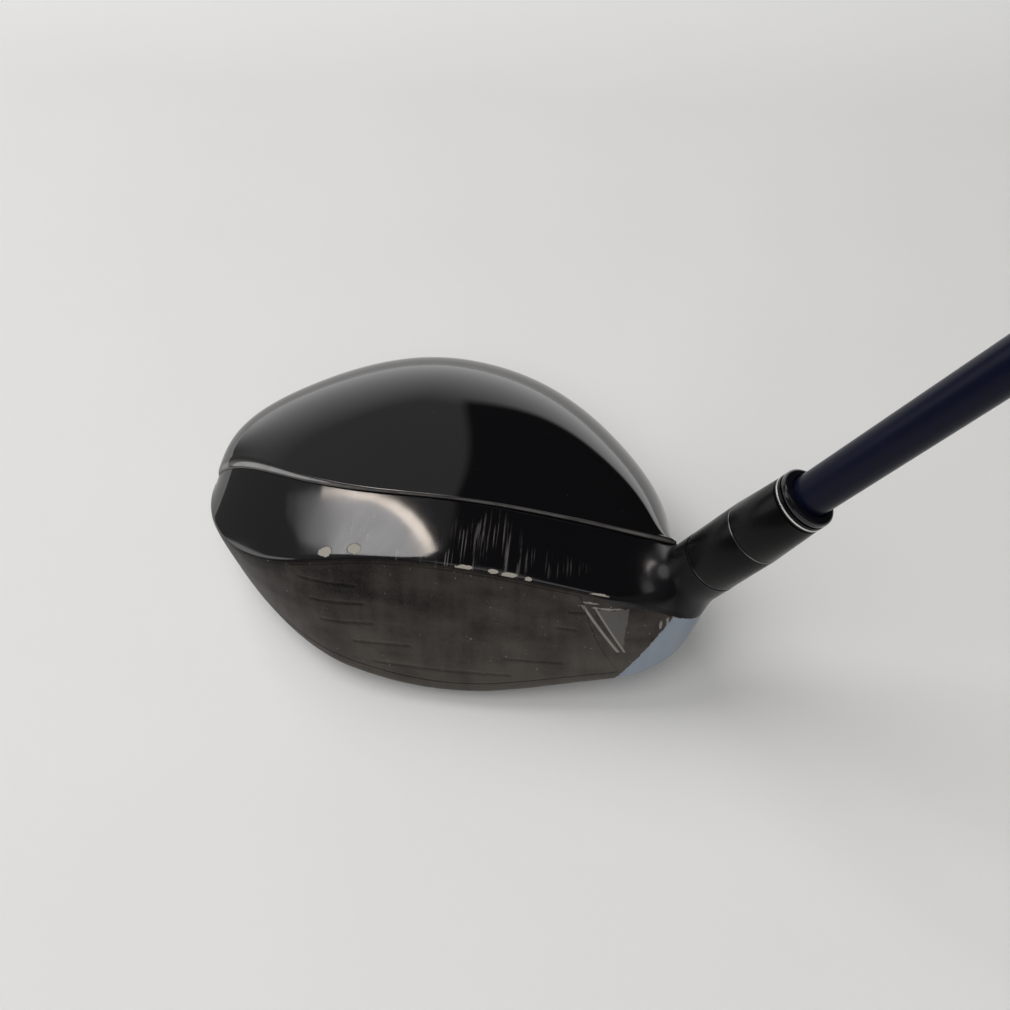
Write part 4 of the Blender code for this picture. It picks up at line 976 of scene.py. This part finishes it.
# table: pale laminate, paler far behind, where painted light stands in for the lamps' falloff; its rim fades
# out, so that it ends softly in the room
tableSet = {"dark": "#d9d8d6", "light": "#dddcda", "far": "#fcfcfb", "paleLightFrom": 230.0, "paleLightTo": 500.0,
            "fadeFrom": 600.0, "fadeTo": 1250.0, "side": 2.6}
table, tree, shader, place = startMaterial("pale table top")
cloud = speckle(tree, place, (60.0, 60.0, 60.0))
colour = addNode(tree, "Mix", {"Factor": cloud, "A": tableSet["dark"], "B": tableSet["light"]},
                 data_type="RGBA")
paintedFarLight = addNode(tree, "SeparateXYZ", {0: place}).outputs["Y"]
paintedFarLight = addNode(tree, "MapRange", {"Value": paintedFarLight, "From Min": tableSet["paleLightFrom"],
                  "From Max": tableSet["paleLightTo"]})
colour = addNode(tree, "Mix", {"Factor": paintedFarLight, "A": colour, "B": tableSet["far"]}, data_type="RGBA")
shader.inputs["Roughness"].default_value = 0.55
addNode(tree, shader, {"Base Color": colour})
flat = addNode(tree, "VectorMath", {0: place, 1: (1, 1, 0)}, operation="MULTIPLY")
away = addNode(tree, "VectorMath", {0: flat}, operation="LENGTH").outputs["Value"]
faded = addNode(tree, "MapRange", {"Value": away, "From Min": tableSet["fadeFrom"],
                "From Max": tableSet["fadeTo"]}, interpolation_type="SMOOTHSTEP")
ends = addNode(tree, "MixShader", {0: faded, 1: shader, 2: addNode(tree, "BsdfTransparent")})
addNode(tree, tree.nodes["Material Output"], {"Surface": ends})
bpy.ops.mesh.primitive_plane_add(size=tableSet["side"], location=(footPoint.x, 0, groundZ))
floor = bpy.context.object
floor.name = "table"
floor.data.materials.append(table)


# light: a pale wall behind to the left, a dark room behind to the right, a lamp and an open front
def lookTo(azimuth, elevation):
    a, e = math.radians(azimuth), math.radians(elevation)
    return Vector((math.cos(a) * math.cos(e), math.sin(a) * math.cos(e), math.sin(e)))


roomSet = {
    "wall": 0.16, "dark": 0.012, "horizon": 1.3, "front": 0.08, "window": 1.3, "ceiling": 0.6,
    "backdrop": 0.66, "windowWay": (172, 24),
    # the dark screen's left and lower edges: which way each faces, and where it starts and ends
    "screen": [((1.0, 0.067, 0.186), -0.012, 0.012), ((0.34, 0.0, 1.0), 0.32, 0.36)],
}
world = bpy.data.worlds.new("room")
bpy.context.scene.world = world
world.use_nodes = True
tree = world.node_tree
toward = addNode(tree, "TexCoord").outputs["Generated"]
way = addNode(tree, "SeparateXYZ", {0: toward})
# behind, the room is bright low down, with a dark screen on the right
low = addNode(tree, "MapRange", {"Value": way.outputs["Z"], "From Min": 0.42, "From Max": 0.0,
              "To Min": roomSet["wall"], "To Max": roomSet["horizon"]})
backShare = addNode(tree, "MapRange", {"Value": way.outputs["Y"], "From Min": 0.6, "From Max": 0.8},
                    interpolation_type="SMOOTHSTEP")
light = addNode(tree, "Mix", {"Factor": backShare, "A": roomSet["wall"], "B": low})
screen = 1.0
for facing, start, end in roomSet["screen"]:
    past = addNode(tree, "VectorMath", {0: toward, 1: facing}, operation="DOT_PRODUCT").outputs["Value"]
    past = addNode(tree, "MapRange", {"Value": past, "From Min": start, "From Max": end})
    screen = addNode(tree, "Math", {0: past, 1: screen}, operation="MULTIPLY")
light = addNode(tree, "Mix", {"Factor": screen, "A": light, "B": roomSet["dark"]})
# in front it is dark, with a window on the left and a pale ceiling
windowWard = addNode(tree, "VectorMath", {0: toward, 1: lookTo(*roomSet["windowWay"])},
                     operation="DOT_PRODUCT").outputs["Value"]
for value, start, end, level in ((way.outputs["Y"], 0.15, -0.15, "front"),
                                 (windowWard, 0.93, 0.945, "window"),
                                 (way.outputs["Z"], 0.955, 0.985, "ceiling")):
    share = addNode(tree, "MapRange", {"Value": value, "From Min": start, "From Max": end},
                    interpolation_type="SMOOTHSTEP")
    light = addNode(tree, "Mix", {"Factor": share, "A": light, "B": roomSet[level]})
# the camera itself sees a plain pale background
seen = addNode(tree, "LightPath").outputs["Is Camera Ray"]
light = addNode(tree, "Mix", {"Factor": seen, "A": light, "B": roomSet["backdrop"]})
addNode(tree, tree.nodes["Background"], {"Color": (1, 1, 1, 1), "Strength": light})

headMiddle = footPoint + Vector((-35, 20, 30)) * mm
# two big soft lamps, behind on the left and over the front, which stay out of the mirror finishes
softSet = {"softKey": {"way": (145, 52), "away": 1.7, "size": 1.3, "power": 18.4},
           "softFront": {"way": (-100, 62), "away": 1.7, "size": 1.6, "power": 17.2}}
for name, soft in softSet.items():
    bpy.ops.object.light_add(type="AREA", location=headMiddle + lookTo(*soft["way"]) * soft["away"])
    lamp = bpy.context.object
    lamp.name = name
    lamp.rotation_euler = lookTo(*soft["way"]).to_track_quat("Z", "Y").to_euler()
    lamp.data.shape = "DISK"
    lamp.data.size = soft["size"]
    lamp.data.energy = soft["power"]
    lamp.visible_glossy = False


# what the band and the neck mirror, unseen by the camera: a bent tube lamp with a pale shade under it
def showInMirrors(piece):
    piece.visible_diffuse = False
    piece.visible_camera = False


# x, y, z and radius along the tube
tubeSet = {"strength": 10.5, "colour": "#fff1e4",
           "path": [(-730, 705, 754, 4), (-594, 708, 853, 6), (-514, 705, 899, 9), (-471, 688, 931, 13),
                    (-429, 651, 973, 15), (-384, 595, 1024, 15), (-335, 518, 1078, 12), (-293, 442, 1122, 7)]}
glow, tree, shader, place = startMaterial("tubeGlow")
flicker = speckle(tree, place, (30.0, 30.0, 30.0))
flicker = addNode(tree, "MapRange", {"Value": flicker, "To Min": tubeSet["strength"] * 0.7,
                  "To Max": tubeSet["strength"] * 1.3})
shader.inputs["Emission Color"].default_value = hexColour(tubeSet["colour"])
addNode(tree, shader, {"Emission Strength": flicker})
curve = bpy.data.curves.new("tube", "CURVE")
curve.dimensions = "3D"
curve.bevel_depth = mm
curve.materials.append(glow)
path = curve.splines.new("POLY")
path.points.add(len(tubeSet["path"]) - 1)
for point, (x, y, z, radius) in zip(path.points, tubeSet["path"]):
    point.co = (*(footPoint + Vector((x, y, z)) * mm), 1)
    point.radius = radius
tube = bpy.data.objects.new("tube", curve)
bpy.context.scene.collection.objects.link(tube)
showInMirrors(tube)
# the shade fades out toward the toe
shadeSet = {"strength": 3.6, "colour": "#f3f1f2", "fadeFrom": -835.0, "fadeTo": -580.0,
            "top": [(-860, 690, 640), (-730, 705, 754), (-594, 708, 853), (-471, 688, 931), (-429, 651, 973),
                    (-384, 595, 1024), (-293, 442, 1122)],
            "low": [(-862, 657, 658), (-803, 629, 740), (-670, 626, 855), (-512, 580, 979), (-423, 482, 1067),
                    (-355, 430, 1110), (-304, 438, 1120)]}
pale, tree, shader, place = startMaterial("paleShade")
toeward = addNode(tree, "SeparateXYZ", {0: place}).outputs["X"]
fade = addNode(tree, "MapRange", {"Value": toeward, "From Min": shadeSet["fadeFrom"],
               "From Max": shadeSet["fadeTo"], "To Max": shadeSet["strength"]})
flicker = speckle(tree, place, (60.0, 60.0, 60.0))
flicker = addNode(tree, "MapRange", {"Value": flicker, "To Min": 0.6, "To Max": 1.4})
glowing = addNode(tree, "Math", {0: fade, 1: flicker}, operation="MULTIPLY")
shader.inputs["Emission Color"].default_value = hexColour(shadeSet["colour"])
addNode(tree, shader, {"Emission Strength": glowing})
count = len(shadeSet["top"])
strips = [(i, i + 1, count + i + 1, count + i) for i in range(count - 1)]
showInMirrors(meshPiece("shade", shadeSet["top"] + shadeSet["low"], strips, [pale]))
print("stage lit")

# camera at the photo's angle
cameraSet = {"place": (-0.473034, -0.1188, -0.555451), "azimuth": 5.0, "elevation": 53.7, "lens": 36.0}
tilt, swing = math.radians(90 - cameraSet["elevation"]), math.radians(cameraSet["azimuth"])
bpy.ops.object.camera_add(location=cameraSet["place"], rotation=(tilt, 0, swing))
camera = bpy.context.object
camera.data.lens = cameraSet["lens"]
camera.data.sensor_width = 36.0
camera.data.clip_start = 0.01
bpy.context.scene.camera = camera
bpy.context.scene.view_settings.view_transform = "Standard"
